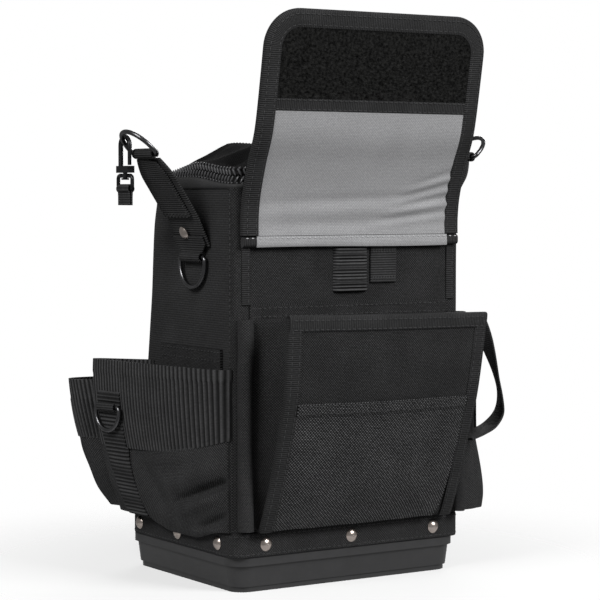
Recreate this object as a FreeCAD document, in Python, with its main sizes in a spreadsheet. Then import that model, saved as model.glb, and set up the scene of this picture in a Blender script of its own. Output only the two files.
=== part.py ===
import FreeCAD, Part
import math
import os
import Sketcher

# Zippered tool bag, open-topped flap standing up. Millimetres, +Z up.
# Origin: centre of the tray's underside. The front faces -Y, the left side faces -X.

# Driving sizes
SIZES = {
    "body_width": 200.0,
    "body_depth": 158.0,
    "body_top": 291.0,
    "wall": 3.0,
    "front_corner": 8.0,
    "back_corner_low": 18.0,
    "back_corner_high": 65.0,
    "tray_height": 25.6,
    "tray_lip": 6.0,
    "tray_lip_proud": 0.6,
    "tray_taper": 3.5,
    "tray_foot": 4.0,
    "tray_foot_step": 1.2,
    "tray_corner": 15.0,
    "tray_wall": 2.5,
    "tray_floor": 3.0,
    "upstand": 18.0,
    "board_thick": 3.0,
    "band_height": 18.0,
    "band_thick": 2.0,
    "rivet_head": 10.0,
    "rivet_rise": 2.8,
    "rivet_level": 35.0,
    "front_rivet_spread": 75.0,
    "side_rivet_spread": 58.0,
    "hem_height": 9.0,
    "hem_proud": 2.0,
    "zip_inset": 1.0,
    "zip_row": 5.0,
    "zip_split": 1.4,
    "zip_thick": 4.0,
    "tooth_pitch": 4.0,
    "tooth_rise": 1.4,
    "slider_length": 14.0,
    "slider_plate": 2.0,
    "slider_setback": 14.0,
    "pull_length": 18.0,
    "pull_width": 7.0,
    "lid_rise": 15.0,
    "lid_inset": 54.0,
    "lid_skin": 2.5,
    "lid_edge": 6.0,
    "flap_width": 191.0,
    "flap_thick": 3.0,
    "flap_seam": 257.0,
    "flap_hem_height": 5.0,
    "flap_rise": 160.0,
    "flap_kink_reach": 14.5,
    "flap_crease_reach": 22.0,
    "flap_top_reach": 35.5,
    "flap_corner": 27.0,
    "flap_edge": 11.0,
    "flap_edge_thick": 1.6,
    "lining_thick": 1.0,
    "flap_pad_thick": 2.0,
    "pocket_bottom": 44.0,
    "pocket_seam": 140.0,
    "pocket_top": 201.0,
    "pocket_bottom_reach": 7.0,
    "pocket_seam_reach": 41.0,
    "pocket_top_reach": 51.0,
    "pocket_skin": 2.5,
    "pocket_half_low": 79.0,
    "pocket_half_high": 87.0,
    "pocket_edge": 10.5,
    "pocket_edge_thick": 1.5,
    "slip_top": 208.0,
    "side_flat_top": 176.0,
    "side_pocket_top": 162.0,
    "side_pocket_belly": 100.0,
    "side_pocket_skin": 2.2,
    "corner_pocket_top": 145.0,
    "web_thick": 2.0,
    "loop_web": 25.0,
    "strap_width": 44.0,
    "strap_thick": 4.0,
    "strap_middle": -26.0,
    "strap_foot": 249.0,
    "ring_gap_width": 32.0,
    "ring_gap_height": 18.8,
    "ring_wire": 3.4,
    "ring_play": 0.5,
    "lower_ring_level": 241.6,
    "strip_top": 138.0,
    "strip_ring_level": 127.0,
    "strip_ring_width": 25.0,
    "strip_ring_height": 14.4,
    "strip_ring_wire": 3.4,
    "fit": 0.3,
}

doc = FreeCAD.newDocument("tool_bag")
sheet = doc.addObject("Spreadsheet::Sheet", "Sizes")
for row, (alias, number) in enumerate(SIZES.items(), 1):
    sheet.set("A%d" % row, alias)
    sheet.set("B%d" % row, str(number))
    sheet.setAlias("B%d" % row, alias)
doc.recompute()


class Size:
    """A length that carries its number and the sheet expression it comes from."""

    def __init__(self, number, words):
        self.number = number
        self.words = words

    def __add__(self, other):
        other = as_size(other)
        return Size(self.number + other.number, "(%s + %s)" % (self.words, other.words))

    def __sub__(self, other):
        other = as_size(other)
        return Size(self.number - other.number, "(%s - %s)" % (self.words, other.words))

    def __mul__(self, other):
        other = as_size(other)
        return Size(self.number * other.number, "(%s * %s)" % (self.words, other.words))

    def __truediv__(self, other):
        other = as_size(other)
        return Size(self.number / other.number, "(%s / %s)" % (self.words, other.words))

    def __neg__(self):
        return self * -1.0

    __radd__ = __add__
    __rmul__ = __mul__


def as_size(value):
    if isinstance(value, Size):
        return value
    return Size(float(value), "(%r)" % float(value))


def size(alias):
    return Size(float(sheet.get(alias)), "Sizes." + alias)


def between(start, end, share):
    """The length a given share of the way from start to end."""
    return as_size(start) + (as_size(end) - as_size(start)) * share


# Sketch and feature helpers
nodes = []


def new_body(label):
    body = doc.addObject("PartDesign::Body", label)
    body.Label = label
    nodes.append(body)
    return body


def new_sketch(body, role, level=0.0):
    """A sketch on one of the body's own origin planes, raised along the plane's normal."""
    level = as_size(level)
    plane = [feature for feature in body.Origin.OriginFeatures if feature.Role == role][0]
    sketch = body.newObject("Sketcher::SketchObject", body.Label + "_outline")
    sketch.AttachmentSupport = [(plane, "")]
    sketch.MapMode = "FlatFace"
    sketch.AttachmentOffset = FreeCAD.Placement(FreeCAD.Vector(0, 0, level.number), FreeCAD.Rotation())
    sketch.setExpression("AttachmentOffset.Base.z", level.words)
    return sketch


def bind(sketch, kind, where, value):
    """Adds a dimension to the sketch and binds it to the sheet."""
    value = as_size(value)
    index = sketch.addConstraint(Sketcher.Constraint(kind, *where, value.number))
    sketch.setExpression("Constraints[%d]" % index, value.words)


def polygon(sketch, points):
    """A closed outline of straight lines whose corners are all bound to the sheet."""
    points = [(as_size(across), as_size(up)) for across, up in points]
    first = sketch.GeometryCount
    count = len(points)
    corners = [FreeCAD.Vector(across.number, up.number, 0) for across, up in points]
    for index in range(count):
        sketch.addGeometry(Part.LineSegment(corners[index], corners[(index + 1) % count]))
    for index in range(count):
        following = first + (index + 1) % count
        sketch.addConstraint(Sketcher.Constraint("Coincident", first + index, 2, following, 1))
    for index, (across, up) in enumerate(points):
        bind(sketch, "DistanceX", (-1, 1, first + index, 1), across)
        bind(sketch, "DistanceY", (-1, 1, first + index, 1), up)


def rounded(sketch, half_width, front, back, front_radius, back_radius):
    """A plan outline: straight sides joined by two front and two back corner arcs."""
    half_width = as_size(half_width)
    front = as_size(front)
    back = as_size(back)
    front_radius = as_size(front_radius)
    back_radius = as_size(back_radius)
    half, low, high = half_width.number, front.number, back.number
    near, far = front_radius.number, back_radius.number
    vector = FreeCAD.Vector
    sketch.addGeometry(Part.LineSegment(vector(near - half, low, 0), vector(half - near, low, 0)))
    sketch.addGeometry(Part.LineSegment(vector(half, low + near, 0), vector(half, high - far, 0)))
    sketch.addGeometry(Part.LineSegment(vector(half - far, high, 0), vector(far - half, high, 0)))
    sketch.addGeometry(Part.LineSegment(vector(-half, high - far, 0), vector(-half, low + near, 0)))
    arcs = [
        (half - near, low + near, near, -90),
        (half - far, high - far, far, 0),
        (far - half, high - far, far, 90),
        (near - half, low + near, near, 180),
    ]
    for across, up, radius, start in arcs:
        circle = Part.Circle(vector(across, up, 0), vector(0, 0, 1), radius)
        sketch.addGeometry(Part.ArcOfCircle(circle, math.radians(start), math.radians(start + 90)))
    for line in range(4):
        arc = 4 + line
        sketch.addConstraint(Sketcher.Constraint("Tangent", line, 2, arc, 1))
        sketch.addConstraint(Sketcher.Constraint("Tangent", arc, 2, (line + 1) % 4, 1))
    sketch.addConstraint(Sketcher.Constraint("Horizontal", 0))
    sketch.addConstraint(Sketcher.Constraint("Vertical", 1))
    sketch.addConstraint(Sketcher.Constraint("Horizontal", 2))
    sketch.addConstraint(Sketcher.Constraint("Vertical", 3))
    bind(sketch, "DistanceX", (-1, 1, 1, 1), half_width)
    bind(sketch, "DistanceX", (-1, 1, 3, 1), -half_width)
    bind(sketch, "DistanceY", (-1, 1, 0, 1), front)
    bind(sketch, "DistanceY", (-1, 1, 2, 1), back)
    bind(sketch, "Radius", (4,), front_radius)
    bind(sketch, "Radius", (7,), front_radius)
    bind(sketch, "Radius", (5,), back_radius)
    bind(sketch, "Radius", (6,), back_radius)


def circle(sketch, across, up, radius):
    across, up, radius = as_size(across), as_size(up), as_size(radius)
    centre = FreeCAD.Vector(across.number, up.number, 0)
    index = sketch.addGeometry(Part.Circle(centre, FreeCAD.Vector(0, 0, 1), radius.number))
    bind(sketch, "DistanceX", (-1, 1, index, 3), across)
    bind(sketch, "DistanceY", (-1, 1, index, 3), up)
    bind(sketch, "Radius", (index,), radius)


def pad(body, sketch, length, both_ways=False):
    length = as_size(length)
    feature = body.newObject("PartDesign::Pad", body.Label + "_pad")
    feature.Profile = sketch
    feature.Length = length.number
    feature.setExpression("Length", length.words)
    feature.Midplane = both_ways
    return feature


def pocket(body, sketch, length, both_ways=False, upward=False):
    length = as_size(length)
    feature = body.newObject("PartDesign::Pocket", body.Label + "_cut")
    feature.Profile = sketch
    feature.Length = length.number
    feature.setExpression("Length", length.words)
    feature.Midplane = both_ways
    feature.Reversed = upward
    return feature


def loft(body, lower, upper, cut=False):
    kind = "PartDesign::SubtractiveLoft" if cut else "PartDesign::AdditiveLoft"
    feature = body.newObject(kind, body.Label + "_loft")
    feature.Profile = lower
    feature.Sections = [upper]
    feature.Ruled = True
    return feature


def round_edges(body, radius, chosen):
    """Fillets the edges of the body's last feature whose midpoint and direction the test accepts."""
    doc.recompute()
    base = body.Tip
    names = []
    for index, edge in enumerate(base.Shape.Edges, 1):
        middle = edge.valueAt((edge.FirstParameter + edge.LastParameter) / 2)
        along = edge.tangentAt((edge.FirstParameter + edge.LastParameter) / 2)
        if chosen(middle, along):
            names.append("Edge%d" % index)
    feature = body.newObject("PartDesign::Fillet", body.Label + "_round")
    feature.Base = (base, names)
    feature.Radius = radius.number
    feature.setExpression("Radius", radius.words)
    return feature


def corner_cuts(body, half, top, radius, depth):
    """Rounds the two upper corners of a standing panel with one cut from front to back."""
    cut = new_sketch(body, "XZ_Plane")
    half, top, radius = as_size(half), as_size(top), as_size(radius)
    for way in (-1.0, 1.0):
        centre = FreeCAD.Vector(way * (half - radius).number, (top - radius).number, 0)
        upper = centre + FreeCAD.Vector(0, radius.number, 0)
        outer = centre + FreeCAD.Vector(way * radius.number, 0, 0)
        peak = upper + FreeCAD.Vector(0, 2, 0)
        far = FreeCAD.Vector(outer.x + way * 2, peak.y, 0)
        low = FreeCAD.Vector(far.x, outer.y, 0)
        start = 0 if way > 0 else math.pi / 2
        ring = Part.Circle(centre, FreeCAD.Vector(0, 0, 1), radius.number)
        arc = cut.addGeometry(Part.ArcOfCircle(ring, start, start + math.pi / 2))
        rise = cut.addGeometry(Part.LineSegment(upper, peak))
        over = cut.addGeometry(Part.LineSegment(peak, far))
        drop = cut.addGeometry(Part.LineSegment(far, low))
        back = cut.addGeometry(Part.LineSegment(low, outer))
        upper_end, outer_end = (2, 1) if way > 0 else (1, 2)
        for first, first_end, second, second_end in (
            (arc, upper_end, rise, 1), (rise, 2, over, 1), (over, 2, drop, 1), (drop, 2, back, 1),
            (back, 2, arc, outer_end),
        ):
            cut.addConstraint(Sketcher.Constraint("Coincident", first, first_end, second, second_end))
        cut.addConstraint(Sketcher.Constraint("Vertical", rise))
        cut.addConstraint(Sketcher.Constraint("Horizontal", over))
        cut.addConstraint(Sketcher.Constraint("Vertical", drop))
        cut.addConstraint(Sketcher.Constraint("Horizontal", back))
        cut.addConstraint(Sketcher.Constraint("Vertical", arc, upper_end, arc, 3))
        cut.addConstraint(Sketcher.Constraint("Horizontal", arc, outer_end, arc, 3))
        bind(cut, "DistanceX", (-1, 1, arc, 3), (half - radius) * way)
        bind(cut, "DistanceY", (-1, 1, arc, 3), top - radius)
        bind(cut, "Radius", (arc,), radius)
        bind(cut, "DistanceY", (-1, 1, over, 1), top + 2.0)
        bind(cut, "DistanceX", (-1, 1, drop, 1), (half + 2.0) * way)
    pocket(body, cut, depth, both_ways=True)


def shaped(label, shape):
    """A sub-part whose shape comes from swept wires or a formula."""
    feature = doc.addObject("Part::Feature", label)
    feature.Label = label
    feature.Shape = shape
    nodes.append(feature)
    return feature


def block(label, corner, lengths, listed=True):
    """A Part::Box bound to the sheet, from its low corner and its three lengths."""
    box = doc.addObject("Part::Box", label)
    box.Label = label
    for name, value in zip(("Length", "Width", "Height"), lengths):
        value = as_size(value)
        setattr(box, name, value.number)
        box.setExpression(name, value.words)
    for name, value in zip("xyz", corner):
        value = as_size(value)
        box.setExpression("Placement.Base." + name, value.words)
    if listed:
        nodes.append(box)
    return box


def together(label, kind, pieces):
    """A Part::Compound or Part::MultiFuse of document objects."""
    feature = doc.addObject(kind, label)
    feature.Label = label
    if kind == "Part::Compound":
        feature.Links = pieces
    else:
        feature.Shapes = pieces
    nodes.append(feature)
    return feature


def ribbon(line, thick):
    """The outline of a strip of even thickness whose middle follows the given points."""
    near = []
    far = []
    for index, (across, up) in enumerate(line):
        before = line[max(index - 1, 0)]
        after = line[min(index + 1, len(line) - 1)]
        run = math.hypot(after[0] - before[0], after[1] - before[1])
        side_across = -(after[1] - before[1]) / run * thick / 2
        side_up = (after[0] - before[0]) / run * thick / 2
        near.append((across + side_across, up + side_up))
        far.append((across - side_across, up - side_up))
    return near + far[::-1]


# Sizes that several pieces share
half_width = size("body_width") / 2
half_depth = size("body_depth") / 2
wall = size("wall")
inner_half = half_width - wall
inner_depth = half_depth - wall
fit = size("fit")
tray_top = size("tray_height")
body_top = size("body_top")
front_face = -half_depth
front_corner = size("front_corner")
low_corner = size("back_corner_low")
high_corner = size("back_corner_high")
band_top = tray_top + fit + size("band_height")
hem_top = body_top + size("hem_height")
zip_row = size("zip_row")
lower_row_top = hem_top + zip_row
upper_row_foot = lower_row_top + size("zip_split")
lid_foot = upper_row_foot + zip_row

# Base tray: foot, tapering tub, lip and the upstand that the fabric is riveted to
tray = new_body("base_tray")
foot_half = half_width - size("tray_taper") - size("tray_foot_step")
foot_depth = half_depth - size("tray_taper") - size("tray_foot_step")
foot_corner = size("tray_corner") - size("tray_taper")
outline = new_sketch(tray, "XY_Plane")
rounded(outline, foot_half, -foot_depth, foot_depth, foot_corner, foot_corner)
pad(tray, outline, size("tray_foot"))
tub_low = new_sketch(tray, "XY_Plane", size("tray_foot"))
tub_half = half_width - size("tray_taper")
tub_depth = half_depth - size("tray_taper")
rounded(tub_low, tub_half, -tub_depth, tub_depth, foot_corner, foot_corner)
lip_foot = tray_top - size("tray_lip")
tub_high = new_sketch(tray, "XY_Plane", lip_foot)
rounded(tub_high, half_width - 1.5, -half_depth + 1.5, half_depth - 1.5, foot_corner + 2.0, foot_corner + 2.0)
loft(tray, tub_low, tub_high)
lip = new_sketch(tray, "XY_Plane", lip_foot)
proud = size("tray_lip_proud")
tray_corner = size("tray_corner")
lip_half = half_width + proud
lip_depth = half_depth + proud
rounded(lip, lip_half, -lip_depth, lip_depth, tray_corner, tray_corner)
pad(tray, lip, size("tray_lip"))
stand = new_sketch(tray, "XY_Plane", tray_top)
rounded(stand, inner_half, -inner_depth, inner_depth, tray_corner, low_corner + 2.0)
pad(tray, stand, size("upstand"))
hollow_low = new_sketch(tray, "XY_Plane", size("tray_floor"))
hollow_half = foot_half - size("tray_wall")
hollow_depth = foot_depth - size("tray_wall")
rounded(hollow_low, hollow_half, -hollow_depth, hollow_depth, foot_corner - 2.0, foot_corner - 2.0)
hollow_high = new_sketch(tray, "XY_Plane", tray_top + size("upstand"))
mouth_half = inner_half - size("tray_wall")
mouth_depth = inner_depth - size("tray_wall")
rounded(hollow_high, mouth_half, -mouth_depth, mouth_depth, tray_corner - 2.0, low_corner)
loft(tray, hollow_low, hollow_high, cut=True)

# Stiff board on the tray's floor
board = new_body("base_board")
outline = new_sketch(board, "XY_Plane", size("tray_floor"))
board_half = hollow_half - fit
board_depth = hollow_depth - fit
rounded(outline, board_half, -board_depth, board_depth, foot_corner - 2.0, foot_corner - 2.0)
pad(board, outline, size("board_thick"))

# Fabric band above the lip
band = new_body("base_band")
thick = size("band_thick")
outline = new_sketch(band, "XY_Plane", tray_top + fit)
band_half = half_width + thick
band_depth = half_depth + thick
rounded(outline, band_half, -band_depth, band_depth, front_corner + thick, low_corner + thick)
pad(band, outline, size("band_height"))
inside = new_sketch(band, "XY_Plane", tray_top + fit)
rounded(inside, half_width, -half_depth, half_depth, front_corner - fit, low_corner - 1.0)
pocket(band, inside, size("band_height"), upward=True)

# Domed rivets on the band: three on each side
head = size("rivet_head").number / 2
rise = size("rivet_rise").number
rim_rise = 0.5
dome_rise = rise - rim_rise
dome_radius = (head ** 2 + dome_rise ** 2) / (2 * dome_rise)
half_turn = math.asin(head / dome_radius) / 2
dome = Part.Arc(
    FreeCAD.Vector(head, 0, rim_rise),
    FreeCAD.Vector(dome_radius * math.sin(half_turn), 0, rise - dome_radius * (1 - math.cos(half_turn))),
    FreeCAD.Vector(0, 0, rise),
).toShape()
rim = Part.makePolygon([
    FreeCAD.Vector(0, 0, rise),
    FreeCAD.Vector(0, 0, 0),
    FreeCAD.Vector(head, 0, 0),
    FreeCAD.Vector(head, 0, rim_rise),
])
rivet_half = Part.Face(Part.Wire(Part.__sortEdges__([dome] + rim.Edges)))
rivet = rivet_half.revolve(FreeCAD.Vector(0, 0, 0), FreeCAD.Vector(0, 0, 1), 360)


def rivet_at(place, outward):
    copy = rivet.copy()
    copy.Placement = FreeCAD.Placement(place, FreeCAD.Rotation(FreeCAD.Vector(0, 0, 1), outward))
    return copy


rivets = []
rivet_level = size("rivet_level").number
for share in (-1, 0, 1):
    across = share * size("front_rivet_spread").number
    along = share * size("side_rivet_spread").number
    for way in (-1, 1):
        front_spot = FreeCAD.Vector(across, way * band_depth.number, rivet_level)
        side_spot = FreeCAD.Vector(way * band_half.number, along, rivet_level)
        rivets.append(rivet_at(front_spot, FreeCAD.Vector(0, way, 0)))
        rivets.append(rivet_at(side_spot, FreeCAD.Vector(way, 0, 0)))
shaped("base_rivets", Part.makeCompound(rivets))

# Main walls: the sides and back are one wrapped panel that turns from square to D-shaped
wrap = new_body("wrap_panel")
outer_low = new_sketch(wrap, "XY_Plane", tray_top)
rounded(outer_low, half_width, -half_depth, half_depth, front_corner, low_corner)
outer_high = new_sketch(wrap, "XY_Plane", body_top)
rounded(outer_high, half_width, -half_depth, half_depth, front_corner, high_corner)
loft(wrap, outer_low, outer_high)
inner_low = new_sketch(wrap, "XY_Plane", tray_top)
rounded(inner_low, inner_half, -inner_depth, inner_depth, front_corner - wall, low_corner - wall)
inner_high = new_sketch(wrap, "XY_Plane", body_top)
rounded(inner_high, inner_half, -inner_depth, inner_depth, front_corner - wall, high_corner - wall)
loft(wrap, inner_low, inner_high, cut=True)
seam_half = half_width - front_corner - 1.0
slot = new_sketch(wrap, "XY_Plane", tray_top)
polygon(slot, [
    (-seam_half, front_face - 1.0),
    (seam_half, front_face - 1.0),
    (seam_half, front_face + wall + 1.0),
    (-seam_half, front_face + wall + 1.0),
])
pocket(wrap, slot, body_top - tray_top, upward=True)

front = new_body("front_panel")
outline = new_sketch(front, "XY_Plane", tray_top)
polygon(outline, [
    (-seam_half, front_face),
    (seam_half, front_face),
    (seam_half, front_face + wall),
    (-seam_half, front_face + wall),
])
pad(front, outline, body_top - tray_top)

# Bound seams beside the front corners, between the slip pocket and the flap's hem
seam_low = size("slip_top")
seam_high = size("flap_seam") - size("flap_hem_height") - fit
strips = []
for way, label in ((-1, "seam_binding_a"), (1, "seam_binding_b")):
    left_edge = seam_half * way - 3.5
    corner = (left_edge, front_face - 1.2, seam_low)
    strips.append(block(label, corner, (7.0, 1.2, seam_high - seam_low), listed=False))
together("seam_bindings", "Part::Compound", strips)

# Rolled hem under the zip
hem = new_body("top_hem")
hem_proud = size("hem_proud")
outline = new_sketch(hem, "XY_Plane", body_top)
hem_half = half_width + hem_proud
hem_depth = half_depth + hem_proud
rounded(outline, hem_half, -hem_depth, hem_depth, front_corner + hem_proud, high_corner + hem_proud)
pad(hem, outline, size("hem_height"))
inside = new_sketch(hem, "XY_Plane", body_top)
rounded(inside, inner_half, -inner_depth, inner_depth, front_corner - wall, high_corner - wall)
pocket(hem, inside, size("hem_height"), upward=True)
arc_reach = (half_width - high_corner).number
arc_depth = (half_depth - high_corner).number
inner_radius = (high_corner - wall).number + 0.1


def outside_of_hem(middle, along):
    if abs(along.z) > 0.5:
        return False
    if middle.y > arc_depth and abs(middle.x) > arc_reach:
        return math.hypot(abs(middle.x) - arc_reach, middle.y - arc_depth) > inner_radius
    return abs(middle.x) > inner_half.number + 0.1 or abs(middle.y) > inner_depth.number + 0.1


round_edges(hem, hem_proud, outside_of_hem)


# Zip: two rows of teeth that follow the D-shaped mouth; the back run has plain tape
def mouth_line(inset):
    """Corner arcs and straight runs of the mouth as (start, end, arc centre or None, radius)."""
    half = half_width.number - inset
    low = -half_depth.number + inset
    high = half_depth.number - inset
    near = front_corner.number - inset
    far = high_corner.number - inset
    return [
        ((half, high - far), (half - far, high), (half - far, high - far), far, "tape"),
        ((half - far, high), (far - half, high), None, 0.0, "tape"),
        ((far - half, high), (-half, high - far), (far - half, high - far), far, "teeth"),
        ((-half, high - far), (-half, low + near), None, 0.0, "teeth"),
        ((-half, low + near), (near - half, low), (near - half, low + near), near, "teeth"),
        ((near - half, low), (half - near, low), None, 0.0, "teeth"),
        ((half - near, low), (half, low + near), (half - near, low + near), near, "teeth"),
        ((half, low + near), (half, high - far), None, 0.0, "teeth"),
    ]


def run_points(run, shares, lift):
    """Points along a run at the given shares, lifted outward."""
    start, end, centre, radius, _ = run
    points = []
    for share in shares:
        if centre is None:
            length = math.hypot(end[0] - start[0], end[1] - start[1])
            out_x = (end[1] - start[1]) / length
            out_y = -(end[0] - start[0]) / length
            base_x = start[0] + (end[0] - start[0]) * share
            base_y = start[1] + (end[1] - start[1]) * share
        else:
            first = math.atan2(start[1] - centre[1], start[0] - centre[0])
            turn = first + share * math.pi / 2
            out_x = math.cos(turn)
            out_y = math.sin(turn)
            base_x = centre[0] + radius * out_x
            base_y = centre[1] + radius * out_y
        points.append(FreeCAD.Vector(base_x + out_x * lift, base_y + out_y * lift, 0))
    return points


def run_length(run):
    start, end, centre, radius, _ = run
    if centre is None:
        return math.hypot(end[0] - start[0], end[1] - start[1])
    return radius * math.pi / 2


def zip_row_shape(foot, shift):
    """One toothed ring: each tooth is a square bump on the outer edge of the tape."""
    outer = []
    inner = []
    tooth = size("tooth_rise").number
    inset = size("zip_inset").number
    for run in mouth_line(inset):
        count = max(2, int(run_length(run) / size("tooth_pitch").number))
        if run[4] == "tape":
            steps = 12 if run[2] else 1
            outer += run_points(run, [step / steps for step in range(steps)], 0.0)
            continue
        for step in range(count):
            low = (step + shift) / count
            high = (step + shift + 0.5) / count
            for share, lift in ((low, 0.0), (low, tooth), (high, tooth), (high, 0.0)):
                outer += run_points(run, [share], lift)
    for run in mouth_line(inset + size("zip_thick").number):
        steps = 12 if run[2] else 1
        inner += run_points(run, [step / steps for step in range(steps)], 0.0)
    ring = Part.Face(Part.makePolygon(outer + outer[:1]))
    ring = ring.cut(Part.Face(Part.makePolygon(inner + inner[:1])))
    row = ring.Faces[0].extrude(FreeCAD.Vector(0, 0, zip_row.number))
    row.translate(FreeCAD.Vector(0, 0, foot.number))
    return row


shaped("zip_row_lower", zip_row_shape(hem_top, 0.1))
shaped("zip_row_upper", zip_row_shape(upper_row_foot, 0.35))

# Zip slider on the right side: outer and inner plate joined by a web that runs between the rows
slider_length = size("slider_length")
slider_plate = size("slider_plate")
place = front_face + size("slider_setback")
slider_start = place - slider_length / 2
teeth_face = half_width - size("zip_inset") + size("tooth_rise")
tape_face = half_width - size("zip_inset") - size("zip_thick")
outer_plate = block(
    "slider_outer",
    (teeth_face + fit, slider_start, hem_top + 0.8),
    (slider_plate, slider_length, zip_row * 2 + size("zip_split") - 1.6),
    listed=False,
)
inner_plate = block(
    "slider_inner",
    (tape_face - fit - slider_plate, slider_start, hem_top + 0.8),
    (slider_plate, slider_length, zip_row * 2 + size("zip_split") - 1.6),
    listed=False,
)
web = block(
    "slider_web",
    (tape_face - fit - 0.1, slider_start + 2.0, lower_row_top + fit),
    (teeth_face - tape_face + fit * 2 + 0.2, slider_length - 4.0, size("zip_split") - fit * 2),
    listed=False,
)
bail_face = teeth_face + fit + slider_plate
bail_level = hem_top + 4.2
bail_rise = as_size(1.4)
bail_half = as_size(1.5)
pull_gap = fit * 3
pull_thick = as_size(1.5)
bail_reach = pull_gap + pull_thick + fit * 2
bail = block(
    "slider_bail",
    (bail_face - 0.1, place - bail_half, bail_level),
    (bail_reach + 0.1, bail_half * 2, bail_rise),
    listed=False,
)
bail_head = block(
    "slider_bail_head",
    (bail_face + bail_reach - 0.1, place - 2.6, bail_level),
    (0.9, 5.2, bail_rise),
    listed=False,
)
together("zip_slider", "Part::MultiFuse", [outer_plate, inner_plate, web, bail, bail_head])

# Hanging pull with a slot that the bail passes through
pull = new_body("zip_pull")
pull_face = bail_face + pull_gap
outline = new_sketch(pull, "YZ_Plane", pull_face)
pull_half = size("pull_width") / 2
pull_top = bail_level + 3.4
polygon(outline, [
    (place - pull_half, pull_top),
    (place - pull_half, pull_top - size("pull_length")),
    (place + pull_half, pull_top - size("pull_length")),
    (place + pull_half, pull_top),
])
pad(pull, outline, pull_thick)
eye = new_sketch(pull, "YZ_Plane", pull_face)
polygon(eye, [
    (place - bail_half - fit, bail_level - fit * 2),
    (place + bail_half + fit, bail_level - fit * 2),
    (place + bail_half + fit, bail_level + bail_rise + fit * 2),
    (place - bail_half - fit, bail_level + bail_rise + fit * 2),
])
pocket(pull, eye, pull_thick, upward=True)

# Lid: a soft dome over the D-shaped mouth
lid = new_body("lid_panel")
lid_half = half_width - size("zip_inset")
lid_depth = half_depth - size("zip_inset")
lid_top = lid_foot + size("lid_rise")
lid_inset = size("lid_inset")
crown_front = -lid_depth + lid_inset * 0.7
crown_back = lid_depth - lid_inset * 0.6
skin = size("lid_skin")
outer_low = new_sketch(lid, "XY_Plane", lid_foot)
rounded(outer_low, lid_half, -lid_depth, lid_depth, front_corner - 1.0, high_corner - 1.0)
outer_high = new_sketch(lid, "XY_Plane", lid_top)
rounded(outer_high, lid_half - lid_inset, crown_front, crown_back, 14.0, 30.0)
loft(lid, outer_low, outer_high)
inner_low = new_sketch(lid, "XY_Plane", lid_foot)
lid_inner = lid_half - size("zip_thick")
lid_inner_depth = lid_depth - size("zip_thick")
rounded(inner_low, lid_inner, -lid_inner_depth, lid_inner_depth, 3.0, high_corner - 5.0)
inner_high = new_sketch(lid, "XY_Plane", lid_top - skin)
rounded(inner_high, lid_half - lid_inset, crown_front, crown_back, 14.0, 30.0)
loft(lid, inner_low, inner_high, cut=True)

lid_ring = new_body("lid_binding")
outline = new_sketch(lid_ring, "XY_Plane", lid_top)
rounded(outline, lid_half - lid_inset, crown_front, crown_back, 14.0, 30.0)
pad(lid_ring, outline, 1.4)
edge = size("lid_edge")
inside = new_sketch(lid_ring, "XY_Plane", lid_top)
rounded(inside, lid_half - lid_inset - edge, crown_front + edge, crown_back - edge, 8.0, 24.0)
pocket(lid_ring, inside, 1.4, upward=True)

# Flap: a stiff padded panel, sewn to the front wall, that bends forward as it stands up
flap_half = size("flap_width") / 2
flap_thick = size("flap_thick")
flap_back = front_face - 0.5
flap_front = flap_back - flap_thick
seam = size("flap_seam")
flap_top = seam + size("flap_rise")
bend = between(seam, flap_top, 0.175)
kink = between(seam, flap_top, 0.34375)
crease = between(seam, flap_top, 0.475)
web_level = between(seam, flap_top, 0.559375)
pad_level = between(seam, flap_top, 0.615625)
kink_front = flap_front - size("flap_kink_reach")
crease_front = flap_front - size("flap_crease_reach")
top_front = flap_front - size("flap_top_reach")
flap_edge = size("flap_edge")
edge_thick = size("flap_edge_thick")


def lower_front(level):
    """The front face of the flap's lower half at a level above the bend."""
    return between(kink_front, crease_front, (level.number - kink.number) / (crease.number - kink.number))


def upper_front(level):
    share = (level.number - crease.number) / (flap_top.number - crease.number)
    return between(crease_front, top_front, share)


def lower_skin(front_shift, back_shift, low, high):
    """Profile of a layer of the lower half, as shifts in front of the flap's front face."""
    top = lower_front(high)
    return [
        (flap_front - front_shift, low),
        (flap_front - front_shift, bend),
        (kink_front - front_shift, kink),
        (top - front_shift, high),
        (top - back_shift, high),
        (kink_front - back_shift, kink),
        (flap_front - back_shift, bend),
        (flap_front - back_shift, low),
    ]


def upper_skin(front_shift, back_shift, low, high):
    return [
        (upper_front(low) - front_shift, low),
        (upper_front(high) - front_shift, high),
        (upper_front(high) - back_shift, high),
        (upper_front(low) - back_shift, low),
    ]


none = as_size(0.0)
flap_hem = block(
    "flap_hem",
    (-flap_half, flap_front - edge_thick, seam - size("flap_hem_height")),
    (flap_half * 2, front_face - flap_front + edge_thick, size("flap_hem_height")),
)

lower_foot = seam + 0.5
lower_top = crease - fit / 2
flap_low = new_body("flap_lower")
outline = new_sketch(flap_low, "YZ_Plane")
polygon(outline, lower_skin(none, -flap_thick, lower_foot, lower_top))
pad(flap_low, outline, flap_half * 2, both_ways=True)

lining_half = flap_half - flap_edge
seam_stitch = as_size(2.0)
lining_low = new_body("flap_lining_lower")
outline = new_sketch(lining_low, "YZ_Plane")
polygon(outline, lower_skin(size("lining_thick"), none, lower_foot + seam_stitch, lower_top))
pad(lining_low, outline, lining_half * 2, both_ways=True)

binding_low = new_body("flap_binding_lower")
outline = new_sketch(binding_low, "YZ_Plane")
polygon(outline, lower_skin(edge_thick, none, lower_foot, lower_top))
pad(binding_low, outline, flap_half * 2, both_ways=True)
window = new_sketch(binding_low, "XZ_Plane")
polygon(window, [
    (-lining_half, lower_foot + seam_stitch),
    (lining_half, lower_foot + seam_stitch),
    (lining_half, crease + 5.0),
    (-lining_half, crease + 5.0),
])
pocket(binding_low, window, size("body_depth") * 4, both_ways=True)

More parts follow.
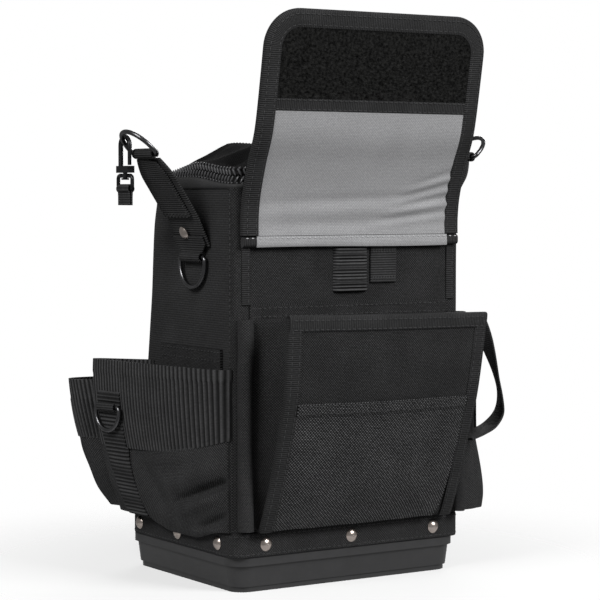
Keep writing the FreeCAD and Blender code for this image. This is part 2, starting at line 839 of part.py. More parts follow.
upper_foot = crease + fit / 2
flap_high = new_body("flap_upper")
outline = new_sketch(flap_high, "YZ_Plane")
polygon(outline, upper_skin(none, -flap_thick, upper_foot, flap_top))
pad(flap_high, outline, flap_half * 2, both_ways=True)
corner_cuts(flap_high, flap_half, flap_top, size("flap_corner"), size("body_depth") * 4)

lining_high = new_body("flap_lining_upper")
outline = new_sketch(lining_high, "YZ_Plane")
polygon(outline, upper_skin(size("lining_thick"), none, upper_foot, web_level))
pad(lining_high, outline, lining_half * 2, both_ways=True)

web_strip = new_body("flap_webbing")
outline = new_sketch(web_strip, "YZ_Plane")
polygon(outline, upper_skin(edge_thick, none, web_level, pad_level))
pad(web_strip, outline, lining_half * 2, both_ways=True)

hook_pad = new_body("flap_hook_pad")
outline = new_sketch(hook_pad, "YZ_Plane")
pad_top = flap_top - flap_edge
polygon(outline, upper_skin(size("flap_pad_thick"), none, pad_level, pad_top))
pad(hook_pad, outline, lining_half * 2, both_ways=True)
pad_corner = size("flap_corner") - flap_edge + 1.0
corner_cuts(hook_pad, lining_half, pad_top, pad_corner, size("body_depth") * 4)

binding_high = new_body("flap_binding_upper")
outline = new_sketch(binding_high, "YZ_Plane")
polygon(outline, upper_skin(edge_thick, none, upper_foot, flap_top))
pad(binding_high, outline, flap_half * 2, both_ways=True)
# The window's corner line touches the pad's corner arc from outside
corner_chamfer = pad_corner * (2.0 - math.sqrt(2.0))
window = new_sketch(binding_high, "XZ_Plane")
polygon(window, [
    (-lining_half, crease - 5.0),
    (lining_half, crease - 5.0),
    (lining_half, pad_top - corner_chamfer),
    (lining_half - corner_chamfer, pad_top),
    (corner_chamfer - lining_half, pad_top),
    (-lining_half, pad_top - corner_chamfer),
])
pocket(binding_high, window, size("body_depth") * 4, both_ways=True)
corner_cuts(binding_high, flap_half, flap_top, size("flap_corner"), size("body_depth") * 4)

# Front pocket: a panel that flares forward, with a loop field above and a patch pocket below
low = size("pocket_bottom") + fit
pocket_seam = size("pocket_seam")
pocket_top = size("pocket_top")
low_front = front_face - size("pocket_bottom_reach")
seam_front = front_face - size("pocket_seam_reach")
top_front_face = front_face - size("pocket_top_reach")
pocket_skin = size("pocket_skin")
half_low = size("pocket_half_low")
half_high = size("pocket_half_high")
pocket_edge = size("pocket_edge")
pocket_edge_thick = size("pocket_edge_thick")


def pocket_face(level):
    """The front face of the pocket's panel at a level."""
    level = as_size(level)
    if level.number <= pocket_seam.number:
        return between(low_front, seam_front, (level.number - low.number) / (pocket_seam.number - low.number))
    share = (level.number - pocket_seam.number) / (pocket_top.number - pocket_seam.number)
    return between(seam_front, top_front_face, share)


def side_cuts(body, extra):
    """Trims the panel's sides to its tapering outline."""
    cut = new_sketch(body, "XZ_Plane")
    for way in (-1.0, 1.0):
        polygon(cut, [
            (half_low * way, low - 1.0),
            (half_high * way, pocket_top + extra),
            ((half_high + 20.0) * way, pocket_top + extra),
            ((half_high + 20.0) * way, low - 1.0),
        ])
    pocket(body, cut, size("body_depth") * 4, both_ways=True)


panel = new_body("front_pocket_panel")
outline = new_sketch(panel, "YZ_Plane")
polygon(outline, [
    (low_front, low),
    (seam_front, pocket_seam),
    (top_front_face, pocket_top),
    (top_front_face + pocket_skin, pocket_top),
    (seam_front + pocket_skin, pocket_seam),
    (low_front + pocket_skin, low + pocket_skin),
    (front_face, low + pocket_skin),
    (front_face, low),
])
pad(panel, outline, half_high * 2 + 2.0, both_ways=True)
side_cuts(panel, 1.0)

window_low = half_low - pocket_edge
window_high = half_high - pocket_edge
field_top = pocket_top - pocket_edge
field = new_body("front_loop_field")
outline = new_sketch(field, "YZ_Plane")
field_low = pocket_seam + 0.5
polygon(outline, [
    (pocket_face(field_low), field_low),
    (pocket_face(field_low) - 1.0, field_low),
    (pocket_face(field_top) - 1.0, field_top),
    (pocket_face(field_top), field_top),
])
pad(field, outline, (window_high - 3.5) * 2, both_ways=True)

patch = new_body("front_patch_pocket")
outline = new_sketch(patch, "YZ_Plane")
patch_low = low + 2.0
polygon(outline, [
    (pocket_face(patch_low), patch_low),
    (pocket_face(patch_low) - 2.0, patch_low),
    (seam_front - 2.0, pocket_seam),
    (seam_front, pocket_seam),
])
pad(patch, outline, window_low * 2, both_ways=True)

rim_body = new_body("front_pocket_binding")
outline = new_sketch(rim_body, "YZ_Plane")
cap = pocket_top + pocket_edge_thick
polygon(outline, [
    (low_front, low),
    (low_front - pocket_edge_thick, low),
    (seam_front - pocket_edge_thick, pocket_seam),
    (top_front_face - pocket_edge_thick, pocket_top),
    (top_front_face - pocket_edge_thick, cap),
    (top_front_face + pocket_skin, cap),
    (top_front_face + pocket_skin, pocket_top),
    (top_front_face, pocket_top),
    (seam_front, pocket_seam),
])
pad(rim_body, outline, half_high * 2 + 2.0, both_ways=True)
window = new_sketch(rim_body, "XZ_Plane")
polygon(window, [
    (-window_low - 0.3, low - 1.0),
    (window_low + 0.3, low - 1.0),
    (window_high, field_top + 0.2),
    (-window_high, field_top + 0.2),
])
pocket(rim_body, window, size("body_depth") * 4, both_ways=True)
side_cuts(rim_body, pocket_edge_thick + 1.0)

# Bellows sides of the front pocket: one fold out, one fold in
gusset_low = low + pocket_skin
gusset_high = pocket_top - 2.0
gusset_skin = as_size(2.0)


def gusset_plan(way, spread, wall_x, panel_x, panel_y):
    """Plan of a folded side wall between the front wall and the pocket's panel."""
    deep = panel_y - front_face
    out_x = wall_x + spread
    in_x = panel_x - spread * 0.4
    line = [
        (wall_x, front_face),
        (out_x, front_face + deep * 0.36),
        (in_x, front_face + deep * 0.56),
        (panel_x, panel_y),
    ]
    inner = [(across - gusset_skin, along) for across, along in reversed(line)]
    return [(across * way, along) for across, along in line + inner]


def gusset_spread(level):
    """How far the outer fold stands off at a level."""
    share = (as_size(level).number - gusset_low.number) / (gusset_high.number - gusset_low.number)
    return between(1.0, 8.0, share)


def gusset_section(body, way, level, panel_y):
    sketch = new_sketch(body, "XY_Plane", level)
    share = (as_size(level).number - low.number) / (pocket_top.number - low.number)
    panel_x = between(half_low, half_high, share)
    polygon(sketch, gusset_plan(way, gusset_spread(level), seam_half, panel_x, panel_y))
    return sketch


for way, label in ((-1.0, "front_gusset_left"), (1.0, "front_gusset_right")):
    gusset = new_body(label)
    foot_plan = gusset_section(gusset, way, gusset_low, low_front + pocket_skin)
    seam_plan = gusset_section(gusset, way, pocket_seam, seam_front + pocket_skin)
    loft(gusset, foot_plan, seam_plan)
    seam_plan = gusset_section(gusset, way, pocket_seam, seam_front + pocket_skin)
    high_plan = gusset_section(gusset, way, gusset_high, pocket_face(gusset_high) + pocket_skin)
    loft(gusset, seam_plan, high_plan)

# Pieces on the front wall behind the pocket
slip_top = size("slip_top")
slip_half = seam_half - gusset_skin - 1.0
slip = block(
    "front_slip_pocket",
    (-slip_half, front_face - 1.5, gusset_low + 2.0),
    (slip_half * 2, 1.5, slip_top - gusset_low - 2.0),
)
elastic = new_body("front_elastic_loop")
outline = new_sketch(elastic, "XY_Plane", slip_top + 8.0)
polygon(outline, [
    (-16.0, front_face),
    (-12.0, front_face - 3.5),
    (11.0, front_face - 3.5),
    (15.0, front_face),
])
pad(elastic, outline, 32.0)
behind = new_sketch(elastic, "XY_Plane", slip_top + 8.0)
polygon(behind, [
    (-14.3, front_face),
    (-11.4, front_face - 2.3),
    (10.4, front_face - 2.3),
    (13.3, front_face),
])
pocket(elastic, behind, 32.0, upward=True)
block("front_webbing_patch", (17.0, front_face - 2.0, slip_top + 14.0), (23.5, 2.0, 27.0))

# Side pockets, the webbing strip and the corner pockets
side_low = band_top + fit
side_top = size("side_pocket_top")
side_skin = size("side_pocket_skin")
flat_top = size("side_flat_top")
flat_front = front_face + 16.0
flat_length = size("body_depth") - 70.0
for way, label in ((-1.0, "side_flat_pocket_left"), (1.0, "side_flat_pocket_right")):
    start = -half_width - 2.5 if way < 0 else half_width
    block(label, (start, flat_front, side_low + 4.0), (2.5, flat_length, flat_top - side_low - 4.0))


def inset_line(line, skin):
    """A pouch's plan line moved inward by the skin; its two ends stay on the wall."""
    spots = [(as_size(reach).number, as_size(along).number) for reach, along in line]
    normals = []
    for (start_reach, start_along), (end_reach, end_along) in zip(spots, spots[1:]):
        run = math.hypot(end_reach - start_reach, end_along - start_along)
        normals.append(((start_along - end_along) / run, (end_reach - start_reach) / run))
    steps = [(0.0, skin / normals[0][1])]
    for before, after in zip(normals, normals[1:]):
        spread = 1 + before[0] * after[0] + before[1] * after[1]
        steps.append(((before[0] + after[0]) * skin / spread, (before[1] + after[1]) * skin / spread))
    steps.append((0.0, skin / normals[-1][1]))
    return [(as_size(reach) + step[0], as_size(along) + step[1]) for (reach, along), step in zip(line, steps)]


def plan_section(body, level, points, way):
    sketch = new_sketch(body, "XY_Plane", level)
    polygon(sketch, [((half_width + reach) * way, along) for reach, along in points])
    return sketch


def pouch(label, way, plans):
    """An open-topped pouch on a side wall: plans at foot, belly and top, as reach from the wall and place."""
    body = new_body(label)
    levels = [side_low, pouch_belly, side_top]
    inner_levels = [side_low + side_skin, pouch_belly, side_top]
    for step in (0, 1):
        lower_plan = plan_section(body, levels[step], plans[step], way)
        upper_plan = plan_section(body, levels[step + 1], plans[step + 1], way)
        loft(body, lower_plan, upper_plan)
    inner_plans = [inset_line(plan, side_skin.number) for plan in plans]
    for step in (0, 1):
        lower_plan = plan_section(body, inner_levels[step], inner_plans[step], way)
        upper_plan = plan_section(body, inner_levels[step + 1], inner_plans[step + 1], way)
        loft(body, lower_plan, upper_plan, cut=True)
    return body


pouch_front = front_face + 3.0
back = half_depth
pouch_belly = size("side_pocket_belly")
left_plans = []
for turn, reaches, ends in (
    (9.0, (5.0, 13.0, 9.0), (15.0, 8.0, 33.0)),
    (10.0, (7.0, 29.0, 24.0), (14.0, 6.0, 37.0)),
    (12.0, (11.2, 33.0, 28.0), (13.0, 6.0, 41.0)),
):
    left_plans.append([
        (0.0, pouch_front),
        (reaches[0], pouch_front + turn),
        (reaches[1], back - ends[0]),
        (reaches[2], back - ends[1]),
        (0.0, back - ends[2]),
    ])
pouch("side_pocket_left", -1.0, left_plans)
right_front = pouch_front + 2.0
right_plans = []
for reaches, turn, ends in (
    ((22.0, 34.0, 34.0, 24.0), 16.0, (49.0, 35.0, 33.0)),
    ((17.0, 25.0, 27.0, 20.0), 14.0, (50.0, 37.0, 37.0)),
    ((16.0, 26.0, 28.0, 20.0), 14.0, (51.0, 39.0, 41.0)),
):
    right_plans.append([
        (0.0, pouch_front),
        (reaches[0], right_front),
        (reaches[1], right_front + turn),
        (reaches[2], back - ends[0]),
        (reaches[3], back - ends[1]),
        (0.0, back - ends[2]),
    ])
pouch("side_pocket_right", 1.0, right_plans)


def pouch_edge(level, back):
    """Reach and place of a point on the left pouch's outer wall, at a level and a share of the way back."""
    level = as_size(level)
    if level.number <= pouch_belly.number:
        lower, upper, foot, top = left_plans[0], left_plans[1], side_low, pouch_belly
    else:
        lower, upper, foot, top = left_plans[1], left_plans[2], pouch_belly, side_top
    share = (level.number - foot.number) / (top.number - foot.number)
    near = [between(lower[1][axis], upper[1][axis], share) for axis in (0, 1)]
    far = [between(lower[2][axis], upper[2][axis], share) for axis in (0, 1)]
    return between(near[0], far[0], back), between(near[1], far[1], back)


def strip_section(body, level):
    sketch = new_sketch(body, "XY_Plane", level)
    near_reach, near_along = pouch_edge(level, 0.79)
    far_reach, far_along = pouch_edge(level, 0.99)
    web = size("web_thick")
    polygon(sketch, [
        (-half_width - near_reach, near_along),
        (-half_width - far_reach, far_along),
        (-half_width - far_reach - web, far_along),
        (-half_width - near_reach - web, near_along),
    ])
    return sketch


# Webbing strip on the pouch's back edge
strip = new_body("side_strip_left")
for strip_foot, strip_end in ((side_low + 4.0, pouch_belly), (pouch_belly, size("strip_top"))):
    lower_plan = strip_section(strip, strip_foot)
    upper_plan = strip_section(strip, strip_end)
    loft(strip, lower_plan, upper_plan)

# Pockets round the back corners
corner_top = size("corner_pocket_top")
corner_low = side_low + 2.0
corner_levels = [corner_low, pouch_belly, corner_top]
inset = [(-2.2, 0.3), (-2.2, -0.7), (-1.2, -2.2), (0.9, -2.2), (2.6, 0.0)]
for way, label, setbacks in (
    (-1.0, "corner_pocket_left", (6.6, 8.4, 4.8)),
    (1.0, "corner_pocket_right", (31.5, 32.5, 33.0)),
):
    corner = new_body(label)
    fronts = [back - setback for setback in setbacks]
    lines = [
        [(9.6, fronts[0]), (14.0, back + 5.0), (3.0, back + 18.0), (-28.0, back + 11.0), (-38.0, back)],
        [(20.0, fronts[1]), (33.0, back + 9.0), (27.0, back + 25.0), (-30.0, back + 18.0), (-40.0, back)],
        [(26.0, fronts[2]), (41.0, back + 11.0), (33.0, back + 28.0), (-32.0, back + 20.0), (-42.0, back)],
    ]
    rings = []
    for line in lines:
        inner = [(reach + step[0], along + step[1]) for (reach, along), step in zip(line, inset)]
        rings.append(line + inner[::-1])
    for step in (0, 1):
        lower_plan = plan_section(corner, corner_levels[step], rings[step], way)
        upper_plan = plan_section(corner, corner_levels[step + 1], rings[step + 1], way)
        loft(corner, lower_plan, upper_plan)
    tangent = low_corner.number * math.tan(math.pi / 8)
    floor = [
        (-38.0, back + 0.2),
        (-low_corner + tangent, back + 0.2),
        (0.2, back - low_corner + tangent),
        (0.2, fronts[0]),
    ]
    floor_plan = plan_section(corner, corner_low, lines[0] + floor, way)
    pad(corner, floor_plan, side_skin)

# Webbing loop on the right of the front pocket
loop = new_body("tape_loop")
loop_high = 197.0
loop_low = 102.0
loop_bow = [
    (8.0, 193.5), (13.0, 183.0), (17.0, 168.0), (21.5, 150.0),
    (25.5, 134.0), (25.5, 122.0), (19.0, 112.0), (8.0, 105.5),
]
loop_line = [
    ((seam_half + gusset_spread(loop_high)).number + 0.3, loop_high),
    *((half_width.number + reach, level) for reach, level in loop_bow),
    ((seam_half + gusset_spread(loop_low)).number + 0.3, loop_low),
]
loop_sketch = new_sketch(loop, "XZ_Plane", half_depth)
polygon(loop_sketch, ribbon(loop_line, size("web_thick").number))
pad(loop, loop_sketch, size("loop_web"))

# Shoulder strap points on both sides
ring_radius = size("ring_wire") / 2
ring_hole = ring_radius + size("ring_play")
eye_radius = ring_hole + 1.6
strap_width = size("strap_width")
strap_thick = size("strap_thick")
strap_middle = size("strap_middle")
lower_level = size("lower_ring_level")
strap_foot = size("strap_foot")
ring_band = size("ring_gap_width") - 4.0
lower_ring_x = half_width + eye_radius


def ring_bow(width, height, wire):
    """Half length and rise of a ring's wire line, and the radius of the turns at its bar."""
    return width / 2 + wire / 2, height + wire, wire / 2 + 1.3


def d_ring(label, base, side, up, width, height, wire):
    """A D-shaped ring of given inner width and height: bar through base along side, bow towards up."""
    half, tall, turn = ring_bow(width, height, wire)
    shoulder = tall - half
    cut = turn * (1 - math.sqrt(0.5))

    def at(along, rise):
        return base + side * along + up * rise

    path = Part.Wire([
        Part.makeLine(at(turn - half, 0), at(half - turn, 0)),
        Part.Arc(at(half - turn, 0), at(half - cut, cut), at(half, turn)).toShape(),
        Part.makeLine(at(half, turn), at(half, shoulder)),
        Part.Arc(at(half, shoulder), at(0, tall), at(-half, shoulder)).toShape(),
        Part.makeLine(at(-half, shoulder), at(-half, turn)),
        Part.Arc(at(-half, turn), at(cut - half, cut), at(turn - half, 0)).toShape(),
    ])
    section = Part.Wire(Part.makeCircle(wire / 2, at(turn - half, 0), side))
    return shaped(label, path.makePipe(Part.Face(section)))


gap_width = size("ring_gap_width").number
gap_height = size("ring_gap_height").number
ring_wire = size("ring_wire").number
along_side = FreeCAD.Vector(0, 1, 0)
strap_line = [(0.0, 0.0), (9.5, 21.0), (32.3, 55.5), (37.9, 64.0)]
strap_start = half_width.number + 2.6
eye_x = strap_start + strap_line[-1][0] + 2.4
eye_z = strap_foot.number + strap_line[-1][1] + 3.7
upper_lean = math.radians(46)
for way, side in ((-1.0, "left"), (1.0, "right")):
    # Sewn tab with the folded eye of the lower ring
    tab = new_body("anchor_" + side)
    outline = new_sketch(tab, "XZ_Plane", -strap_middle - ring_band / 2)
    polygon(outline, [
        (half_width * way, lower_level),
        ((half_width + 3.0) * way, lower_level),
        ((half_width + 3.0) * way, strap_foot - 2.6),
        (half_width * way, strap_foot - 2.6),
    ])
    pad(tab, outline, ring_band)
    eye = new_sketch(tab, "XZ_Plane", -strap_middle - ring_band / 2)
    circle(eye, lower_ring_x * way, lower_level, eye_radius)
    pad(tab, eye, ring_band)
    hole = new_sketch(tab, "XZ_Plane", -strap_middle - ring_band / 2)
    circle(hole, lower_ring_x * way, lower_level, ring_hole)
    pocket(tab, hole, ring_band, upward=True)
    bar = FreeCAD.Vector(way * lower_ring_x.number, strap_middle.number, lower_level.number)
    d_ring("lower_ring_" + side, bar, along_side, FreeCAD.Vector(0, 0, -1), gap_width, gap_height, ring_wire)

    # Doubled webbing that leans out, with the folded eye of the upper ring
    strap = new_body("strap_" + side)
    outline = new_sketch(strap, "XZ_Plane", -strap_middle - strap_width / 2)
    line = [(way * (strap_start + across), strap_foot.number + up) for across, up in strap_line]
    polygon(outline, ribbon(line, strap_thick.number))
    pad(strap, outline, strap_width)
    eye = new_sketch(strap, "XZ_Plane", -strap_middle - ring_band / 2)
    circle(eye, way * eye_x, eye_z, eye_radius)
    pad(strap, eye, ring_band)
    hole = new_sketch(strap, "XZ_Plane", -strap_middle - strap_width)
    circle(hole, way * eye_x, eye_z, ring_hole)
    pocket(strap, hole, strap_width * 2, upward=True)
    bar = FreeCAD.Vector(way * eye_x, strap_middle.number, eye_z)
    lean = FreeCAD.Vector(way * math.sin(upper_lean), 0, math.cos(upper_lean))
    d_ring("upper_ring_" + side, bar, along_side, lean, gap_width, gap_height, ring_wire)

    # Domed rivet through the strap, low down
    slope = math.atan2(strap_line[1][0], strap_line[1][1])
    rivet_share = 0.53
    outward = FreeCAD.Vector(way * math.cos(slope), 0, -math.sin(slope))
    place = FreeCAD.Vector(
        way * (strap_start + strap_line[1][0] * rivet_share),
        strap_middle.number + 2.0,
        strap_foot.number + strap_line[1][1] * rivet_share,
    )
    shaped("strap_rivet_" + side, rivet_at(place + outward * (strap_thick.number / 2 + 0.05), outward))

# Folded loop and ring on the left webbing strip
ring_level = size("strip_ring_level")


def strip_spot(level, back):
    """A point on the strip's outer face."""
    reach, along = pouch_edge(level, back)
    out = half_width + reach + size("web_thick")
    return FreeCAD.Vector(-out.number, along.number, as_size(level).number)


strip_side = (strip_spot(ring_level, 0.99) - strip_spot(ring_level, 0.79)).normalize()
strip_rise = (strip_spot(side_top, 0.89) - strip_spot(pouch_belly, 0.89)).normalize()
strip_out = strip_rise.cross(strip_side).normalize()
strip_wire = size("strip_ring_wire").number
strip_width = size("strip_ring_width").number
strip_hole = strip_wire / 2 + size("ring_play").number
strip_eye = strip_hole + 1.4
fold_length = strip_width - 4.0
seat = strip_spot(ring_level, 0.89) + strip_out * 0.05
strip_bar = seat + strip_out * strip_eye
fold_end = strip_side * (fold_length / 2)
tab_rise = strip_rise * 9
tab_corners = [seat - fold_end, seat + fold_end, seat + fold_end + tab_rise, seat - fold_end + tab_rise]
tab_face = Part.Face(Part.makePolygon(tab_corners + tab_corners[:1]))
fold = Part.makeCylinder(strip_eye, fold_length, strip_bar - fold_end, strip_side)
fold = fold.fuse(tab_face.extrude(strip_out * 1.5))
fold = fold.cut(Part.makeCylinder(strip_hole, fold_length + 2, strip_bar - fold_end - strip_side, strip_side))
shaped("side_ring_loop_left", fold.removeSplitter())
strip_height = size("strip_ring_height").number
down = FreeCAD.Vector(0, 0, -1)
d_ring("side_ring_left", strip_bar, strip_side, down, strip_width, strip_height, strip_wire)

# Swivel snap hook hanging on the left upper ring
hook_reach = 10.0
ring_half, ring_tall, _ = ring_bow(gap_width, gap_height, ring_wire)
shoulder = ring_tall - ring_half
leg_rise = (hook_reach - shoulder) / ring_half
leg_x = -(eye_x + math.sin(upper_lean) * hook_reach)
leg_y = strap_middle.number + ring_half * math.sqrt(1 - leg_rise ** 2)
leg_z = eye_z + math.cos(upper_lean) * hook_reach
hook_drop = 1.15
bow = 6.6
hook_wire = 1.8


def hook_at(along, up):
    return FreeCAD.Vector(0, along, up)


def hung(label, shape):
    """A piece of the snap hook, drawn about the centre of its bow and then moved to the ring."""
    shape.translate(FreeCAD.Vector(leg_x, leg_y, leg_z - hook_drop))
    return shaped(label, shape)


spine = Part.Wire([
    Part.makeLine(hook_at(bow, -15.0), hook_at(bow, 0)),
    Part.Arc(hook_at(bow, 0), hook_at(0, bow), hook_at(-bow, 0)).toShape(),
    Part.makeLine(hook_at(-bow, 0), hook_at(-bow, -2.0)),
])
spine_section = Part.Wire(Part.makeCircle(hook_wire, hook_at(bow, -15.0), FreeCAD.Vector(0, 0, 1)))
hook = spine.makePipeShell([spine_section], True, False)
hook_base = Part.makeBox(5.6, bow * 2 + 4.4, 5.0, hook_at(-bow - 2.2, -19.5) - FreeCAD.Vector(2.8, 0, 0))
stem = Part.makeCylinder(1.6, 4.4, hook_at(0, -23.6), FreeCAD.Vector(0, 0, 1))
stop = Part.makeCylinder(2.8, 1.2, hook_at(0, -24.6), FreeCAD.Vector(0, 0, 1))
hung("snap_hook", hook.fuse([hook_base, stem, stop]).removeSplitter())
gate = Part.makeCylinder(1.4, 10.7, hook_at(-bow, -13.9), FreeCAD.Vector(0, 0, 1))
hung("snap_gate", gate)

# Swivel: a collar round the stem that carries the eye
collar = Part.makeCylinder(4.4, 3.0, hook_at(0, -23.1), FreeCAD.Vector(0, 0, 1))
collar = collar.cut(Part.makeCylinder(1.9, 4.0, hook_at(0, -23.6), FreeCAD.Vector(0, 0, 1)))
eye_half = 10.5
eye_turn = 2.5
eye_cut = eye_turn * (1 - math.sqrt(0.5))
eye_high = -21.6
eye_low = -31.0
eye_path = [Part.makeLine(hook_at(-3.6, eye_high), hook_at(eye_turn - eye_half, eye_high))]
for way, from_high in ((-1, True), (1, False)):
    high = [
        hook_at(way * (eye_half - eye_turn), eye_high),
        hook_at(way * (eye_half - eye_cut), eye_high - eye_cut),
        hook_at(way * eye_half, eye_high - eye_turn),
    ]
    low = [
        hook_at(way * eye_half, eye_low + eye_turn),
        hook_at(way * (eye_half - eye_cut), eye_low + eye_cut),
        hook_at(way * (eye_half - eye_turn), eye_low),
    ]
    spots = high + low if from_high else low[::-1] + high[::-1]
    eye_path.append(Part.Arc(*spots[:3]).toShape())
    eye_path.append(Part.makeLine(spots[2], spots[3]))
    eye_path.append(Part.Arc(*spots[3:]).toShape())
    if from_high:
        eye_path.append(Part.makeLine(spots[-1], hook_at(eye_half - eye_turn, eye_low)))
eye_path.append(Part.makeLine(hook_at(eye_half - eye_turn, eye_high), hook_at(3.6, eye_high)))
eye_section = Part.Wire(Part.makeCircle(1.4, hook_at(-3.6, eye_high), FreeCAD.Vector(0, -1, 0)))
eye_rod = Part.Wire(eye_path).makePipe(Part.Face(eye_section))
hung("snap_swivel", collar.fuse(eye_rod).removeSplitter())
fold = Part.makeCylinder(3.4, 17.0, hook_at(-8.5, -31.0), FreeCAD.Vector(0, 1, 0))
tail = Part.makeBox(4.0, 17.0, 11.0, hook_at(-8.5, -43.0) - FreeCAD.Vector(2.0, 0, 0))
bar_hole = Part.makeCylinder(1.7, 19.0, hook_at(-9.5, -31.0), FreeCAD.Vector(0, 1, 0))
hung("snap_tab", fold.fuse(tail).cut(bar_hole).removeSplitter())

# Check every object, then write one file for each sub-part
doc.recompute()
for item in doc.Objects:
    if "Invalid" in item.State or "Error" in item.State:
        raise ValueError("%s did not build: %s" % (item.Label, item.State))
os.makedirs("parts", exist_ok=True)
for node in nodes:
    shape = node.Shape
    if shape.isNull() or not shape.isValid() or not shape.Solids:
        raise ValueError("%s has no valid solid" % node.Label)
    shape.exportStep("parts/%s.step" % node.Label)
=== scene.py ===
import math
import bpy
import numpy as np
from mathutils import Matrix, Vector


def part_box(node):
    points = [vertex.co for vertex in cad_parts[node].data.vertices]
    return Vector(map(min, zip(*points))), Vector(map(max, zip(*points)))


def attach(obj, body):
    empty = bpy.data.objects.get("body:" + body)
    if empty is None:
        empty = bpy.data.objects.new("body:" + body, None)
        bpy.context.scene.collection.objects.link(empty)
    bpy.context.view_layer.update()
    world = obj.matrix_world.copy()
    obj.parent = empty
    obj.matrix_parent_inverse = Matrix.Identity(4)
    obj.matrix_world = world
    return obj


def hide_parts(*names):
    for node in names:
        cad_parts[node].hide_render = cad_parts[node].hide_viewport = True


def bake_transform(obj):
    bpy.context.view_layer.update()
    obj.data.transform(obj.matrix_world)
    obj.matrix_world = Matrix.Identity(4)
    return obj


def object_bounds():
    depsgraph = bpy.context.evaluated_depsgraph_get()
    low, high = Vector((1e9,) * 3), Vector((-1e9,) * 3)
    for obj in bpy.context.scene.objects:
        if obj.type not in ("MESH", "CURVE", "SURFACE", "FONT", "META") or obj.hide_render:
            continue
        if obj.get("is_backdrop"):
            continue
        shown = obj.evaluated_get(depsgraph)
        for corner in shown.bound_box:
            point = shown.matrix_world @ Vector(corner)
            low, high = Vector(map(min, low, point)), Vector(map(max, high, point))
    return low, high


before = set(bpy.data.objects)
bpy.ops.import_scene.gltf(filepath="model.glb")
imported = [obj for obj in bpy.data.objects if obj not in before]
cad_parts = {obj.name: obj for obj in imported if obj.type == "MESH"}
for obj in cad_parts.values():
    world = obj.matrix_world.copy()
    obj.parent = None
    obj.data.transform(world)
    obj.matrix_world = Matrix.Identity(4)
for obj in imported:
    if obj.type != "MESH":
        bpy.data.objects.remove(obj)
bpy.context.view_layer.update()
scene = bpy.context.scene
scene.view_settings.view_transform = "Standard"

# Shapes are drawn in millimetres and made in metres; fk, the lamps and the camera take metres
MM = 0.001

# Distance between the ribs of a wave texture at scale 1
WAVE_PERIOD = math.pi / 10


# Materials
class Nodes:
    """A tree of shader nodes, which are added by kind, with sockets set or linked."""

    def __init__(self, tree):
        self.tree = tree

    def node(self, kind, sockets=None, **settings):
        made = self.tree.nodes.new("ShaderNode" + kind)
        for key, value in settings.items():
            setattr(made, key, value)
        for key, value in (sockets or {}).items():
            if isinstance(value, bpy.types.NodeSocket):
                self.tree.links.new(value, made.inputs[key])
            else:
                made.inputs[key].default_value = value
        return made


class Look(Nodes):
    """A procedural material, with the slot of the record that it shows."""

    def __init__(self, name, slot, rough, specular=0.3, metal=0.0):
        self.slot = slot
        self.material = bpy.data.materials.new(name)
        self.material.use_nodes = True
        super().__init__(self.material.node_tree)
        self.shader = self.tree.nodes["Principled BSDF"]
        self.shader.inputs["Roughness"].default_value = rough
        self.shader.inputs["Specular IOR Level"].default_value = specular
        self.shader.inputs["Metallic"].default_value = metal

    def place(self, kind="UV"):
        return self.node("TexCoord").outputs[kind]

    def noise(self, size, detail=3.0, place="Object"):
        """Uneven values from 0 to 1 with spots of about the given size."""
        sockets = {"Vector": self.place(place), "Scale": 1 / (size * MM), "Detail": detail}
        return self.node("TexNoise", sockets).outputs[0]

    def ribs(self, pitch, way):
        sockets = {"Vector": self.place(), "Scale": WAVE_PERIOD / (pitch * MM)}
        return self.node("TexWave", sockets, bands_direction=way).outputs[1]

    def span(self, value, low, high):
        """Stretches a value's middle range to run from low to high."""
        sockets = {0: value, 1: 0.3, 2: 0.7, 3: low, 4: high}
        return self.node("MapRange", sockets).outputs[0]

    def mix(self, share, first, second):
        return self.node("Mix", {0: share, 2: first, 3: second}).outputs[0]

    def times(self, first, second):
        return self.node("Math", {0: first, 1: second}, operation="MULTIPLY").outputs[0]

    def blend_colours(self, share, first, second, blend_type="MIX"):
        sockets = {0: share, 6: first, 7: second}
        return self.node("Mix", sockets, data_type="RGBA", blend_type=blend_type).outputs[2]

    def finish(self, colour, height, depth, gap, uneven, spot, tone=1.0):
        """Darker in the gaps and uneven in soft spots, with the height as a bump of the given depth."""
        dark = tuple(part * gap for part in colour) + (1.0,)
        thread = self.blend_colours(height, dark, tuple(colour) + (1.0,))
        shade = self.times(self.span(self.noise(spot), 1 - uneven, 1 + uneven), tone)
        shaded = self.blend_colours(1.0, thread, shade, "MULTIPLY")
        self.tree.links.new(shaded, self.shader.inputs["Base Color"])
        bump = self.node("Bump", {"Strength": 1.0, "Distance": depth * MM, "Height": height}).outputs[0]
        self.tree.links.new(bump, self.shader.inputs["Normal"])
        return self


def woven(name, slot, level, pitch, depth=0.2, rough=0.9, gap=0.45, cells=0.4, fleck=0.2, uneven=0.16,
          spot=22, specular=0.12):
    """Over-and-under weave; threads that run up and across differ in tone by the cells' share."""
    look = Look(name, slot, rough, specular)
    over = look.node("TexChecker", {"Vector": look.place(), "Scale": 1 / (pitch * MM)}).outputs[1]
    weave = look.mix(over, look.ribs(pitch, "X"), look.ribs(pitch, "Y"))
    flecks = look.span(look.noise(pitch * 1.6, place="UV"), 1 - fleck, 1 + fleck)
    tone = look.times(look.mix(over, 1 - cells, 1 + cells), flecks)
    return look.finish((level, level, level * 1.02), weave, depth, gap, uneven, spot, tone)


